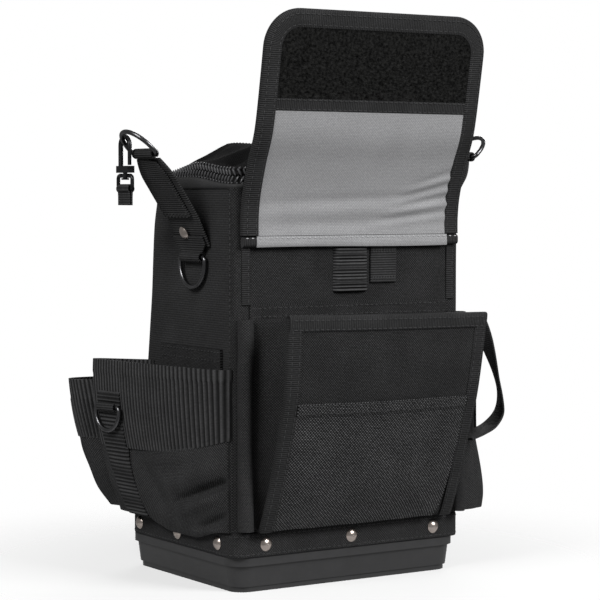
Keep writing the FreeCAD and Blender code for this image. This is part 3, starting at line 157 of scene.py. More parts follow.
def ribbed(name, slot, level, pitch, depth=0.35, rough=0.85, gap=0.3, fleck=0.2, uneven=0.14, spot=16,
           way="Y"):
    """Webbing and tape: ribs across the run, with fine threads along it."""
    look = Look(name, slot, rough, 0.15)
    weave = look.mix(0.15, look.ribs(pitch, way), look.ribs(0.8, "Y" if way == "X" else "X"))
    flecks = look.span(look.noise(1.6, place="UV"), 1 - fleck, 1 + fleck)
    return look.finish((level, level, level * 1.02), weave, depth, gap, uneven, spot, flecks)


def grained(name, slot, colour, rough, size, depth, uneven, metal=0.0, specular=0.5, spot=9):
    """Moulded or cast surface with a fine grain."""
    look = Look(name, slot, rough, specular, metal)
    return look.finish(colour, look.noise(size, 2.0), depth, 0.8, uneven, spot)


rib_pitch = 3.6
coated = ribbed("coated_fabric", "fabric", 0.037, 1.7, depth=0.12, gap=0.55, fleck=0.3, spot=26)
# Coated cloth of the rolled hem, much lighter than the walls' and the lid's: a painted highlight along the
# hem
smooth = woven("hem_coated_painted_highlight", "fabric", 0.062, 0.9, depth=0.05, rough=0.6, cells=0.1, fleck=0.1)
# Coated cloth of the lid, darker than the walls' and the hem's: painted shade on the lid
lid_cloth_painted_shade = woven("lid_cloth_painted_shade", "fabric", 0.016, 0.9, depth=0.08, rough=0.95, cells=0.3, fleck=0.25,
                  specular=0.02)
ballistic = woven("ballistic_weave", "ballistic", 0.069, 1.2, depth=0.3, gap=0.3, cells=0.8, fleck=0.5)
pouch_weave = woven("pouch_weave", "ballistic", 0.052, 0.95, gap=0.35, cells=0.55, fleck=0.3)
bellows_weave = woven("bellows_weave", "ballistic", 0.044, 0.95, gap=0.35, cells=0.55, fleck=0.3)
band_weave = woven("band_weave", "ballistic", 0.042, 1.0, gap=0.35, cells=0.45, fleck=0.3)
plain = woven("plain_weave", "fabric", 0.034, 1.0, depth=0.15, cells=0.6, fleck=0.35)
webbing = ribbed("webbing", "webbing", 0.050, 1.8, depth=0.4)
ladder = ribbed("ladder_webbing", "webbing", 0.066, 3.2, depth=0.8, gap=0.12)
grosgrain = ribbed("grosgrain", "binding", 0.040, 1.5, depth=0.3, gap=0.25)
# Near-black rib valleys (gap 0.06) at the shirred ribs' pitch: painted shade in the elastic's gathers
elastic = ribbed("elastic", "elastic", 0.075, rib_pitch, depth=0.3, gap=0.06, way="X")
elastic_tape = ribbed("elastic_tape", "elastic", 0.075, 2.7, depth=0.4, gap=0.04)
thread = ribbed("thread", None, 0.060, 0.8, depth=0.1, rough=0.6, gap=0.5)
white_thread = ribbed("white_thread", "lining", 0.50, 0.8, depth=0.1, rough=0.6, gap=0.8, fleck=0.05)
lining = woven("grey_lining", "lining", 0.36, 1.1, depth=0.1, gap=0.8, cells=0.1, fleck=0.1, uneven=0.04,
               specular=0.05)
pile = grained("hook_pile", "hook_and_loop", (0.012, 0.012, 0.0117), 0.95, 1.3, 0.8, 0.85, specular=0.05,
               spot=2.2)
moulded = grained("moulded_tray", None, (0.033, 0.033, 0.034), 0.42, 0.7, 0.06, 0.08)
coil = grained("nylon_coil", "zip", (0.09, 0.09, 0.094), 0.32, 0.9, 0.05, 0.15)
tape = ribbed("zip_tape", "zip", 0.014, 1.4, depth=0.1, gap=0.5)
nickel = grained("nickel", None, (0.66, 0.58, 0.53), 0.26, 2.0, 0.03, 0.1, metal=1.0)
gunmetal = grained("gunmetal", None, (0.14, 0.14, 0.145), 0.28, 1.5, 0.04, 0.2, metal=1.0)
blackened = grained("blackened_steel", None, (0.05, 0.05, 0.052), 0.34, 1.5, 0.05, 0.2, metal=1.0)
board_face = grained("fibre_board", None, (0.05, 0.047, 0.044), 0.9, 0.5, 0.1, 0.2)


# Lines and grids of points
def run_of(line):
    """Length along a line up to each of its points."""
    return np.concatenate([[0], np.cumsum(np.linalg.norm(np.diff(line, axis=0), axis=1))])


def along_line(values, run, wanted):
    """Values that are known at each point's run along a line, read off at the wanted runs."""
    return np.column_stack([np.interp(wanted, run, axis) for axis in values.T])


def curve(points, count):
    """Evenly spaced points on a smooth line through the given points."""
    points = np.array(points, float)
    ends = np.vstack([2 * points[0] - points[1], points, 2 * points[-1] - points[-2]])
    share = np.linspace(0, 1, 24, endpoint=False)[:, None]
    dense = []
    for index in range(1, len(ends) - 2):
        before, start, end, after = ends[index - 1:index + 3]
        bend = (2 * before - 5 * start + 4 * end - after) * share ** 2
        turn = (3 * start - before - 3 * end + after) * share ** 3
        dense.append((2 * start + (end - before) * share + bend + turn) / 2)
    dense = np.vstack(dense + [points[-1:]])
    run = run_of(dense)
    return along_line(dense, run, np.linspace(0, run[-1], count))


def unit(vectors):
    return vectors / np.linalg.norm(vectors, axis=-1, keepdims=True)


def upright(line, y, way=1):
    """A line drawn in x and z, set at one y; way -1 mirrors it to the left."""
    return np.column_stack([way * line[:, 0], np.full(len(line), y), line[:, 1]])


def facing(grid, centre):
    """Unit normals of a grid, turned away from the centre."""
    normal = unit(np.cross(np.gradient(grid, axis=1), np.gradient(grid, axis=0)))
    return normal if (normal * (grid - np.array(centre))).sum() > 0 else -normal


def raised(grid, lift, centre):
    """A grid moved off its face by a lift for each point, away from the centre."""
    return grid + facing(grid, centre) * lift[..., None]


def ripple(grid, size, seed):
    """Smooth uneven values between about -1 and 1, with bumps of about the given size."""
    chance = np.random.default_rng(seed)
    total = np.zeros(grid.shape[:-1])
    for _ in range(8):
        way = unit(chance.normal(size=3))
        wave = size * chance.uniform(0.7, 1.7)
        total += np.sin(grid @ way * (2 * math.pi / wave) + chance.uniform(0, 6.28))
    return total / 4


def fold(grid, axes, start, end, width, depth):
    """A soft ridge, or valley if depth is negative, between two places seen along one axis."""
    spot = grid[..., axes] - np.array(start, float)
    run = np.array(end, float) - np.array(start, float)
    share = np.clip(spot @ run / (run @ run), 0, 1)
    away = np.linalg.norm(spot - share[..., None] * run, axis=-1)
    return depth * np.exp(-(away / width) ** 2) * np.sin(math.pi * (0.1 + 0.8 * share))


def folds(grid, axes, creases):
    """Several folds together, each a start, an end, a width and a depth."""
    return sum(fold(grid, axes, *crease) for crease in creases)


def ease(share):
    """A share from 0 to 1 that starts and ends gently."""
    return share * share * (3 - 2 * share)


def fade(values, low, high, width):
    """Rises from 0 to 1 inside low and falls again before high."""
    rise = np.clip((values - low) / width, 0, 1)
    fall = np.clip((high - values) / width, 0, 1)
    return ease(np.minimum(rise, fall))


def sweep(path, outward, section):
    """Rows along a path; the section's first number points outward, its second to the side."""
    path = np.array(path, float)
    along = unit(np.gradient(path, axis=0))
    outward = np.broadcast_to(np.array(outward, float), path.shape)
    side = unit(np.cross(along, outward))
    outward = np.cross(side, along)
    section = np.array(section, float)
    if section.ndim == 2:
        section = np.broadcast_to(section, (len(path),) + section.shape)
    return path[:, None] + outward[:, None] * section[..., :1] + side[:, None] * section[..., 1:]


def tape_section(width, thick, across=9):
    """A flat strip with rounded edges; the seam of the section is on its inner face."""
    edge = thick * 0.5
    reach = width / 2 - edge
    turn = np.linspace(0, math.pi, 7)[1:-1]
    inner = [(-thick / 2, place) for place in np.linspace(0, reach, 3)]
    right = [(-math.cos(angle) * edge, reach + math.sin(angle) * edge) for angle in turn]
    outer = [(thick / 2, place) for place in np.linspace(reach, -reach, across)]
    left = [(math.cos(angle) * edge, -reach - math.sin(angle) * edge) for angle in turn]
    rest = [(-thick / 2, place) for place in np.linspace(-reach, 0, 3)[:-1]]
    return np.array(inner + right + outer + left + rest)


def spread(grid):
    """UV place of each point of a grid, from the lengths of its middle row and column, in metres."""
    across = run_of(grid[len(grid) // 2]) * MM
    along = run_of(grid[:, grid.shape[1] // 2]) * MM
    return np.stack(np.meshgrid(across, along), axis=-1)


def quads(index):
    return np.stack([index[:-1, :-1], index[:-1, 1:], index[1:, 1:], index[1:, :-1]], axis=-1).reshape(-1, 4)


def index_border(index):
    return np.concatenate([index[0, :-1], index[:-1, -1], index[-1, :0:-1], index[:0:-1, 0]])


# Meshes
bag_middle = (0, 0, 150)
frontward = (0, -1, 0)
upward = (0, 0, 1)
sides = ((-1, "left"), (1, "right"))


class Shape:
    """Collects sheets, tubes and stitches into one mesh with a UV map in metres."""

    def __init__(self):
        self.points = []
        self.spots = []
        self.faces = []
        self.count = 0

    def layer(self, grid, spots):
        index = self.count + np.arange(grid.shape[0] * grid.shape[1]).reshape(grid.shape[:2])
        self.points.append(grid.reshape(-1, 3))
        self.spots.append(spots.reshape(-1, 2))
        self.count += index.size
        return index

    def close(self, faces):
        """Keeps the faces of a closed part, turned so that they look outward."""
        points = np.vstack(self.points)
        faces = [face for group in faces for face in group.tolist()]
        corners = points[np.array([face[:3] for face in faces])]
        size = np.einsum("ij,ij->i", corners[:, 0], np.cross(corners[:, 1], corners[:, 2])).sum()
        self.faces += faces if size > 0 else [face[::-1] for face in faces]

    def sheet(self, grid, thick, centre=bag_middle, across=None):
        """A panel whose outer face is the grid; across can give the UV run of its columns."""
        spots = spread(grid)
        if across is not None:
            spots[..., 0] = across
        outer = self.layer(grid, spots)
        inner = self.layer(grid - facing(grid, centre) * thick, spots)
        rim = [index_border(outer), index_border(inner)]
        edges = np.stack([rim[0], rim[1], np.roll(rim[1], -1), np.roll(rim[0], -1)], axis=1)
        self.close([quads(outer), quads(inner)[:, ::-1], edges])
        return self

    def tube(self, grid, ring=False):
        """A closed skin with rows along it and columns round it."""
        index = self.layer(grid, spread(grid))
        index = np.hstack([index, index[:, :1]])
        if ring:
            self.close([quads(np.vstack([index, index[:1]]))])
            return self
        ends = np.array([index[0, -2::-1], index[-1, :-1]])
        self.close([quads(index), ends])
        return self

    def ribbon(self, path, outward, width, thick, ring=False):
        """Webbing or tape along a path, with its face turned outward."""
        return self.tube(sweep(path, outward, tape_section(width, thick)), ring)

    def beads(self, places, along, outward, length, radius, around=6):
        """Small capsules, such as stitches or teeth, lying along the given directions."""
        along = unit(np.broadcast_to(np.array(along, float), np.shape(places)))
        side = unit(np.cross(along, outward))
        up = np.cross(side, along)
        turn = np.linspace(0, 2 * math.pi, around, endpoint=False)
        rings = [(-0.5, 0.25), (-0.36, 0.85), (0.0, 1.0), (0.36, 0.85), (0.5, 0.25)]
        for place, run, across, rise in zip(places, along, side, up):
            ring = np.outer(np.cos(turn) * radius, across) + np.outer(np.sin(turn) * radius, rise)
            grid = np.array([place + run * (share * length) + ring * wide for share, wide in rings])
            spots = np.zeros(grid.shape[:2] + (2,))
            spots[..., 1] = np.linspace(0, length * MM, len(rings))[:, None]
            index = self.layer(grid, spots)
            index = np.hstack([index, index[:, :1]])
            self.faces += quads(index).tolist()
            self.faces += [index[0, -2::-1].tolist(), index[-1, :-1].tolist()]
        return self

    def stitches(self, line, outward, length=3.0, gap=1.4, radius=0.42):
        """A row of stitches that lie on a surface along a line."""
        line = np.array(line, float)
        run = run_of(line)
        count = max(1, int(run[-1] / (length + gap)))
        middle = (np.arange(count) + 0.5) * run[-1] / count
        places = along_line(line, run, middle)
        along = along_line(np.gradient(line, axis=0), run, middle)
        outward = np.broadcast_to(np.array(outward, float), line.shape)
        return self.beads(places, along, unit(along_line(outward, run, middle)), length, radius)

    def piece(self, name, look, body, *replaced, slot=None):
        """Makes the object, which rides on one body, or is only left in place when given two; slot is not
        used.
        """
        mesh = bpy.data.meshes.new(name)
        mesh.from_pydata((np.vstack(self.points) * MM).tolist(), [], self.faces)
        corner = np.zeros(len(mesh.loops), int)
        mesh.loops.foreach_get("vertex_index", corner)
        layer = mesh.uv_layers.new(name="UVMap")
        layer.data.foreach_set("uv", np.vstack(self.spots)[corner].ravel())
        mesh.polygons.foreach_set("use_smooth", [True] * len(mesh.polygons))
        mesh.set_sharp_from_angle(angle=math.radians(55))
        mesh.materials.append(look.material)
        made = bpy.data.objects.new(name, mesh)
        scene.collection.objects.link(made)
        if isinstance(body, str):
            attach(made, body)
        else:
            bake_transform(made)
        if replaced:
            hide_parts(*replaced)
        return made


def cloth(grid, thick, name, look, body, *replaced, rests_on, held="stretched", centre=bag_middle,
          across=None):
    """A sheet of cloth whose outer face is the grid, and whose flat size is measured on it."""
    made = Shape().sheet(grid, thick, centre, across).piece(name, look, body, *replaced)
    return made


seams = {}


def sew(body, line, outward):
    """Adds a row of stitches to the thread of a body."""
    seams.setdefault(body, Shape()).stitches(line, outward)


# Main sizes of the bag, as in the solids
half_width, half_depth = 100.0, 79.0
front_face = -half_depth
tray_top, body_top, hem_top = 25.6, 291.0, 300.0
near_corner = 8.0


def back_corner(level):
    """Radius of the back corners at a level."""
    return 18.0 + 47.0 * (level - tray_top) / (body_top - tray_top)


def plan(half, front, back, near, far):
    """A closed outline from the front's middle round by the left side, as points and outward normals."""
    line = []
    out = []
    start = (0, front)
    for x, y, radius, angle, run_steps, turn_steps in (
        (near - half, front + near, near, 270, 20, 8),
        (far - half, back - far, far, 180, 26, 18),
        (half - far, back - far, far, 90, 30, 18),
        (half - near, front + near, near, 360, 26, 8),
        (0, front, 0, 270, 20, 0),
    ):
        turn = np.radians(np.linspace(angle, angle - 90, turn_steps + 1))
        spokes = np.column_stack([np.cos(turn), np.sin(turn)])
        arc = (x, y) + radius * spokes
        line += [np.linspace(start, arc[0], run_steps, endpoint=False), arc[:-1]]
        out += [np.tile(spokes[0], (run_steps, 1)), spokes[:-1]]
        start = arc[-1]
    return np.vstack(line), np.vstack(out)


def outline(level, inset=0.0):
    """The bag's plan at a level, drawn in by an inset: a rectangle at the base and D-shaped at the top."""
    far = back_corner(min(level, body_top))
    return plan(half_width - inset, front_face + inset, half_depth - inset, near_corner - inset, far - inset)


def at_level(flat, level):
    """Plan points or normals raised to a level."""
    return np.column_stack([flat, np.full(len(flat), float(level))])


# Walls: the wrap goes round the back, and the front panel turns both front corners over its edges
wall_levels = np.linspace(tray_top + 0.5, 293.4, 60)
# Points of the outline, inside the front corners, where the wrap starts and ends
wrap_first, wrap_last = 25, -24
wrap = np.array([at_level(outline(level)[0][wrap_first:wrap_last], level) for level in wall_levels])
free = fade(wrap[..., 2], 180, 292, 30)
wrap = raised(wrap, free * (0.5 + 0.8 * ripple(wrap, 70, 3)), bag_middle)
cloth(wrap, 3.0, "wall_wrap", coated, "bag", "wrap_panel", rests_on=["base_tray"])

wall_y = front_face - 0.2
turned = curve([(-100.9, -72.4), (-100.5, -74.9), (-98.9, -77.5), (-96.2, -78.9), (-92.0, wall_y)], 14)
middle = np.linspace((-90, wall_y), (90, wall_y), 46)
line = np.vstack([turned, middle, turned[::-1] * (-1, 1)])
wall = np.array([at_level(line, level) for level in wall_levels])
wall[..., 1] += 0.2 * ripple(wall, 50, 5)
cloth(wall, 1.6, "wall_front", plain, "bag", "front_panel", rests_on=["base_tray"])
for way in (-1, 1):
    sew("bag", np.linspace((way * 100.9, -74.0, 46), (way * 100.9, -74.0, 289), 60), (way, 0, 0))

strips = Shape()
for x in (-91.0, 91.0):
    path = np.linspace((x, front_face - 0.65, 208.2), (x, front_face - 0.65, 251.4), 24)
    strips.ribbon(path, frontward, 7.0, 1.2)
    sew("bag", path + (1.8, -0.62, 0), frontward)
strips.piece("seam_tape", grosgrain, "bag", "seam_bindings")


# Rolled hem
def near_dip(points):
    """How far the zip and the top of the hem hang down at the front left corner."""
    ahead = np.clip((-18 - points[..., 1]) / 55, 0, 1)
    aside = np.clip((-20 - points[..., 0]) / 70, 0, 1)
    return 5.0 * ease(ahead) * ease(aside)


hem_half, slack_from = (hem_top - body_top) / 2, 292.5
line, out = outline(body_top, 0.5)
angle = np.linspace(0, 2 * math.pi, 18, endpoint=False) + math.pi
round_out = np.sign(np.cos(angle)) * np.abs(np.cos(angle)) ** 0.8 * 2.5
round_up = np.sign(np.sin(angle)) * np.abs(np.sin(angle)) ** 0.75 * hem_half
path = at_level(line, body_top + hem_half)
pucker = 1 + 0.05 * ripple(path, 14, 7)
section = np.stack(np.broadcast_arrays(pucker[:, None] * round_out, round_up), axis=-1)
hem = sweep(path, at_level(out, 0), section)
hem[..., 2] -= near_dip(hem) * np.clip((hem[..., 2] - slack_from) / (hem_top - slack_from), 0, 1)
# The hem's lighter cloth colour is a painted highlight
Shape().tube(hem, ring=True).piece("rolled_hem", smooth, "bag", "top_hem")

# Base band with its stitching
line, out = outline(tray_top, -1.0)
path = at_level(line, 34.9)
path = path + at_level(out, 0) * (0.25 * ripple(path, 30, 11))[:, None]
band = Shape().ribbon(path, at_level(out, 0), 17.8, 2.0, ring=True)
band.piece("band", band_weave, "bag", "base_band")
for level in (28.2, 41.6):
    sew("bag", at_level(path[:, :2] + out, level), at_level(out, 0))

# Zip: woven tape and a slanted coil on each row, with a guard behind the two rows
rim_level, crown_depth = 311.6, 15.0
row_half, upper_row = 2.5, 306.4
# The coil starts in the back right corner, and the run along the back is plain
tooth_pitch, coil_start, plain_from = 4.1, 60, 77.0


def settle(points):
    """Lets the zip and the lid's rim sink and roll in towards the back corners, and dip at the near one."""
    x, y, z = np.moveaxis(points, -1, 0)
    side = np.clip(x / 60, -1, 1)
    start, end = -7.5 + 27.5 * side, 50 + 10 * side
    share = ease(np.clip((y - start) / (end - start), 0, 1))
    below_crown = 1 - np.clip((z - rim_level) / crown_depth, 0, 1)
    tall = np.clip(z - hem_top, 0, rim_level - hem_top) * below_crown
    away = unit(np.stack([x / half_width ** 2, y / half_depth ** 2, np.full(x.shape, 1e-9)], axis=-1))
    moved = points - away * (0.5 * share * tall)[..., None]
    moved[..., 2] -= (0.8 - 0.08 * side) * share * tall + near_dip(points) * below_crown
    return moved


for name, node, body, low, slant in (
    ("zip_lower", "zip_row_lower", "bag", hem_top, 1),
    ("zip_upper", "zip_row_upper", "lid", upper_row, -1),
):
    level = low + row_half
    line, out = outline(body_top, 2.6)
    row = sweep(at_level(line, level), at_level(out, 0), tape_section(5.8, 2.0))
    Shape().tube(settle(row), ring=True).piece(name + "_tape", tape, body, node)
    line, out = (np.roll(values, coil_start, axis=0) for values in outline(body_top, 1.2))
    run = run_of(line)
    middle = np.arange(0, run[-1] - tooth_pitch / 2, tooth_pitch) + (tooth_pitch / 2 if slant > 0 else 0.0)
    places = along_line(line, run, middle)
    outward = unit(along_line(out, run, middle))
    along = np.column_stack([-outward[:, 1], outward[:, 0]])
    toothed = places[:, 1] < plain_from
    lean = np.column_stack([along * 0.5, np.full(len(along), 0.87 * slant)])[toothed]
    outward = at_level(outward, 0)[toothed]
    teeth = Shape()
    for shift, length, radius in ((0.6, 5.8, 0.85), (-2.1, 1.9, 0.8)):
        seats = settle(at_level(places, level + shift * slant))[toothed]
        teeth.beads(seats, lean, outward, length, radius)
    teeth.piece(name + "_coil", coil, body)
line, out = outline(body_top, 8.6)
guard = sweep(at_level(line, 304.4), at_level(out, 0), tape_section(15.0, 0.8))
Shape().tube(settle(guard), ring=True).piece("zip_guard", tape, "bag")

# Lid: a soft dome with a bound edge round its crown
lid_foot, lid_rise, crown_tuck = 311.0, 16.4, 0.9
lid_middle = (0, 0, 250)


def crown_plan(inset=0.0):
    """Outline of the lid's crown, drawn in by an inset."""
    return plan(45.0 - inset, inset - 40.2, 45.6 - inset, 14.0 - inset, 30.0 - inset)[0]


rim, crown = outline(body_top, 1.0)[0], crown_plan()
rows = []
for share in np.linspace(0, 1, 30):
    level = lid_foot + lid_rise * share ** 1.05 - crown_tuck * share ** 9
    rows.append(at_level(rim + (crown - rim) * share, level))
middle = crown.mean(axis=0)
for share in np.linspace(0.12, 0.97, 12):
    rows.append(at_level(crown + (middle - crown) * share, lid_foot + lid_rise - crown_tuck - 0.6 * share))
dome = np.array(rows)
soft = fade(dome[..., 2], lid_foot, 340.0, 5.0)
dome[..., 2] += soft * (1.1 * ripple(dome, 46, 13) - 0.8)
for way in (-1, 1):
    dome[..., 2] += soft * folds(dome, [0, 1], (
        ((way * 95, -62), (way * 62, -42), 7, -4.0),
        ((way * 92, -40), (way * 58, -30), 7, 1.6),
        ((way * 80, 30), (way * 50, 10), 9, -2.2),
    ))
dome = settle(dome)
under = dome - facing(dome, lid_middle) * 2.2
lid = Shape().tube(np.vstack([dome[::-1], under]))
lid.spots = [np.vstack(lid.points)[:, :2] * MM]
# The lid's darker cloth colour is painted shade
lid_piece = lid.piece("lid_dome", lid_cloth_painted_shade, "lid", "lid_panel")
path = at_level(crown_plan(3.0), 325.0)
path[:, 2] += 1.1 * ripple(path, 46, 13)
edge = Shape().ribbon(path, upward, 6.0, 1.3, ring=True)
edge.piece("lid_edge", grosgrain, "lid", "lid_binding")
sew("lid", path + (0, 0, 0.7), upward)

# Cloth hinge behind the lid, from the hem to the lid's rim
profile = curve([(80.9, 296.5), (81.2, 299.5), (80.2, 302.4), (76.5, 303.9), (71.5, 304.6)], 18)
hinge = np.array([np.linspace((-35, y, z), (35, y, z), 40) for y, z in profile])
hinge_bodies = ("bag", "lid", (0, 0.0812, 0.2995), (0, 0.0765, 0.3035))
cloth(hinge, 1.2, "lid_hinge_cloth", coated, hinge_bodies, rests_on=["top_hem", "lid_panel"],
      centre=lid_middle)


# Profiles of the flap and the front pocket
class Profile:
    """A line drawn in y and z that carries a panel; a place on the panel is given by its run up the line."""

    def __init__(self, points):
        self.line = curve(points, 240)
        self.run = run_of(self.line)
        self.way = unit(np.gradient(self.line, axis=0))
        self.length = self.run[-1]

    def run_at(self, level):
        """Run at which the line, above its lowest point, reaches a level."""
        low = self.line[:, 1].argmin()
        return np.interp(level, self.line[low:, 1], self.run[low:])

    def at(self, x, run, lift):
        """A point from its place across, its run up the line and its height off the face."""
        x, run, lift = np.broadcast_arrays(*(np.asarray(value, float) for value in (x, run, lift)))
        y, z, way_y, way_z = (np.interp(run, self.run, axis) for axis in (*self.line.T, *self.way.T))
        beyond = np.maximum(run - self.length, 0)
        return np.stack([x, y - way_z * lift + way_y * beyond, z + way_y * lift + way_z * beyond], axis=-1)


# Flap: one smooth bending profile carries the padded panel and what is sewn on it
flap = Profile([
    (-82.5, 257.4), (-82.7, 271), (-85.2, 287), (-92.8, 310), (-102.2, 333), (-110.4, 373), (-118, 417),
])
flap_half, flap_edge, flap_corner = 95.5, 11.0, 27.0
liner_half = flap_half - flap_edge
core_margin = 0.6
flap_middle = (0, 0, 300)
flap_bodies = ("flap_low", "flap_high", (0, -0.1016, 0.325), (0, -0.1058, 0.341))


def flap_grid(half, low, high, lift, corner=0.0, columns=60, count=60):
    """A panel of the flap; its upper corners can be rounded."""
    runs = np.linspace(low, high - corner, count)
    if corner:
        turn = np.radians(np.linspace(0, 88, 16))
        runs = np.concatenate([runs, high - corner + corner * np.sin(turn[1:])])
    over = np.maximum(runs - (high - corner), 0)
    wide = half - corner + np.sqrt(np.maximum(corner ** 2 - over ** 2, 0))
    share, run = np.meshgrid(np.linspace(-1, 1, columns), runs)
    return flap.at(share * wide[:, None], run, lift)


core = flap_grid(flap_half - core_margin, 0.4, flap.length - core_margin, -0.1, flap_corner - core_margin)
flap_piece = Shape().sheet(core, 2.9, flap_middle).piece(
    "flap_core", ballistic, flap_bodies, "flap_lower", "flap_upper")

web_run, pad_run = flap.run_at(346.5), flap.run_at(355.5)
face = flap_grid(liner_half, 0.3, web_run + 1.0, 0.0, columns=80, count=110)
creases = [
    ((-90, 281), (92, 287), 4.0, -0.7),
    ((-90, 273), (92, 279), 5.0, 0.8),
    ((-90, 264), (92, 268), 4.5, -0.8),
]
for rise in (0, 9, 17, 25):
    creases.append(((16 + rise, 264 + rise), (94, 271 + rise * 1.25), 3.2, 1.0))
    creases.append(((24 + rise, 268 + rise), (94, 276 + rise * 1.25), 2.8, -0.8))
sag = 0.3 * ripple(face, 48, 17) * fade(face[..., 2], 256, 346, 12) + folds(face, [0, 2], creases)
face = raised(face, np.maximum(1.3 + sag, 0.3), flap_middle)
cloth(face, 1.0, "flap_liner", lining, flap_bodies, "flap_lining_lower", "flap_lining_upper",
      rests_on=["flap_core"], centre=flap_middle)

web_middle = (web_run + pad_run) / 2
path = flap.at(np.linspace(0.1 - liner_half, liner_half - 0.1, 60), web_middle, 0.85)
out = flap.at(0, web_middle, 1.0) - flap.at(0, web_middle, 0.0)
Shape().ribbon(path, out, 9.2, 1.5).piece(
    "flap_strip", grosgrain, "flap_high", "flap_webbing", slot="webbing")
for shift in (-3.3, 3.3):
    sew("flap_high", flap.at(np.linspace(-84, 84, 80), web_middle + shift, 1.7), out)

pad_top = flap.length - flap_edge + 0.2
bristle = flap_grid(liner_half - 0.5, pad_run, pad_top, 1.4, flap_corner - flap_edge, columns=210)
bristle = raised(bristle, np.random.default_rng(23).uniform(-0.35, 0.5, bristle.shape[:2]), flap_middle)
Shape().sheet(bristle, 1.4, flap_middle).piece("flap_pile", pile, "flap_high", "flap_hook_pad")

# The flap's binding goes up the left edge, round the top and down the right edge
straight = flap.length - flap_corner
corner_x = flap_corner - flap_half
turn = np.radians(np.linspace(180, 90, 16))
spokes = np.column_stack([np.cos(turn), np.sin(turn)])
edge = np.linspace((-flap_half, 0.4), (-flap_half, straight), 60)
left = np.vstack([edge, (corner_x, straight) + flap_corner * spokes])
left_inward = np.vstack([np.tile((1, 0), (len(edge), 1)), -spokes])
top = np.linspace((corner_x, flap.length), (-corner_x, flap.length), 50)[1:-1]
bound = np.vstack([left, top, left[::-1] * (-1, 1)])
inward = np.vstack([left_inward, np.tile((0, -1), (len(top), 1)), left_inward[::-1] * (-1, 1)])
depth, lift = np.transpose([
    (12.4, 0.3), (12.4, 1.8), (10.8, 2.2), (6, 2.1), (2.0, 1.9), (0.4, 1.5), (-0.5, 0.6), (-0.8, -1.0),
    (-0.5, -2.6), (0.4, -3.2), (2.0, -3.35), (6, -3.35), (11.8, -3.3), (12.4, -3.0), (2.0, -2.4), (2.0, 0.0),
])
x, run = np.moveaxis(bound[:, None] + inward[:, None] * depth[:, None], -1, 0)
Shape().tube(flap.at(x, run, lift)).piece(
    "flap_edging", grosgrain, flap_bodies, "flap_binding_lower", "flap_binding_upper")
flap_seams = Shape()
for depth in (2.8, 10.4):
    x, run = (bound + inward * depth).T
    line = flap.at(x, run, 2.1)
    flap_seams.stitches(line, flap.at(x, run, 3.1) - line)
flap_seams.piece("flap_thread", thread, flap_bodies, slot="binding")

# The flap's hem: the lining's tail in the middle, bound ends, and one row of white stitches
tail = []
for x in np.linspace(-liner_half, liner_half, 90):
    sway = math.sin(x / 11) + 0.6 * math.sin(x / 4.7)
    tail.append([
        (x, -84.3, 257.4),
        (x, -84.6, 255.4),
        (x, -84.9 - 0.15 * sway, 253.0),
        (x, -84.9 - 0.3 * sway, 250.8),
        (x, -84.4 - 0.3 * sway, 249.4 - 0.4 * math.sin(x / 31)),
    ])
Shape().sheet(np.array(tail), 1.0, (0, 0, 255)).piece("hem_tail", lining, "bag", "flap_hem")
ends = Shape()
for way in (-1, 1):
    ends.ribbon(np.linspace((way * 84.2, -82.0, 253.4), (way * 95.4, -82.0, 253.4), 10), frontward, 7.4, 4.6)
ends.ribbon(np.linspace((-84.2, -81.3, 254.3), (84.2, -81.3, 254.3), 30), frontward, 5.2, 3.6)
ends.piece("hem_ends", grosgrain, "bag", "flap_hem")
white = Shape()
line = np.linspace((-84, -84.7, 256.0), (84, -84.7, 256.0), 90)
white.stitches(line, frontward, length=2.2, gap=2.4, radius=0.4)
for way in (-1, 1):
    line = np.linspace((way * 85.5, -84.4, 256.0), (way * 95, -84.4, 256.0), 12)
    white.stitches(line, frontward, length=2.0, gap=2.0, radius=0.42)
white.piece("hem_stitches", white_thread, "bag")

# Front pocket: one profile for its panel, fields and edging
pocket = Profile([
    (-79.4, 45.4), (-84.5, 44.6), (-90.0, 48.6), (-102, 78), (-113, 112), (-121.4, 140), (-126.6, 170),
    (-130, 201),
])
pocket_foot, pocket_head = 45.0, 201.0


def pocket_half(run):
    """Half width of the pocket at a run: widest at its head, and drawn in half way up."""
    level = np.interp(run, pocket.run, pocket.line[:, 1])
    rise = np.clip((level - pocket_foot) / (pocket_head - pocket_foot), 0, 1)
    return 85.2 + 1.8 * rise - 1.5 * np.sin(math.pi * rise)


def pocket_at(share, run, lift):
    """A point of the bulged pocket from its share of the half width, its run and its height off the face."""
    belly = 2.2 * np.cos(share * math.pi / 2) ** 2 * fade(run, 8, pocket.length + 30, 60)
    place = pocket.at(share * pocket_half(run), run, lift + belly)
    place[..., 2] -= 1.2 * (share + 1) * (run / pocket.length) ** 2
    return place


def pocket_inside(share, run, margin, lift):
    """A point of the pocket where share 1 is a margin inside the panel's edge."""
    half = pocket_half(run)
    return pocket_at(share * (half - margin) / half, run, lift)


share, run = np.meshgrid(np.linspace(-0.995, 0.995, 60), np.linspace(0, pocket.length - 0.2, 70))
panel = pocket_at(share, run, -0.1)
cloth(panel, 2.3, "pocket_panel", plain, "bag", "front_pocket_panel", rests_on=["front_panel"])

seam_run, top_run = pocket.run_at(140.0), pocket.length
share, run = np.meshgrid(np.linspace(-1, 1, 60), np.linspace(seam_run - 4.0, top_run - 9.6, 44))
field = pocket_inside(share, run, 9.8, 0.9)
field = raised(field, 0.25 * ripple(field, 40, 27), bag_middle)
cloth(field, 0.9, "pocket_field", plain, "bag", "front_loop_field", rests_on=["pocket_panel"])

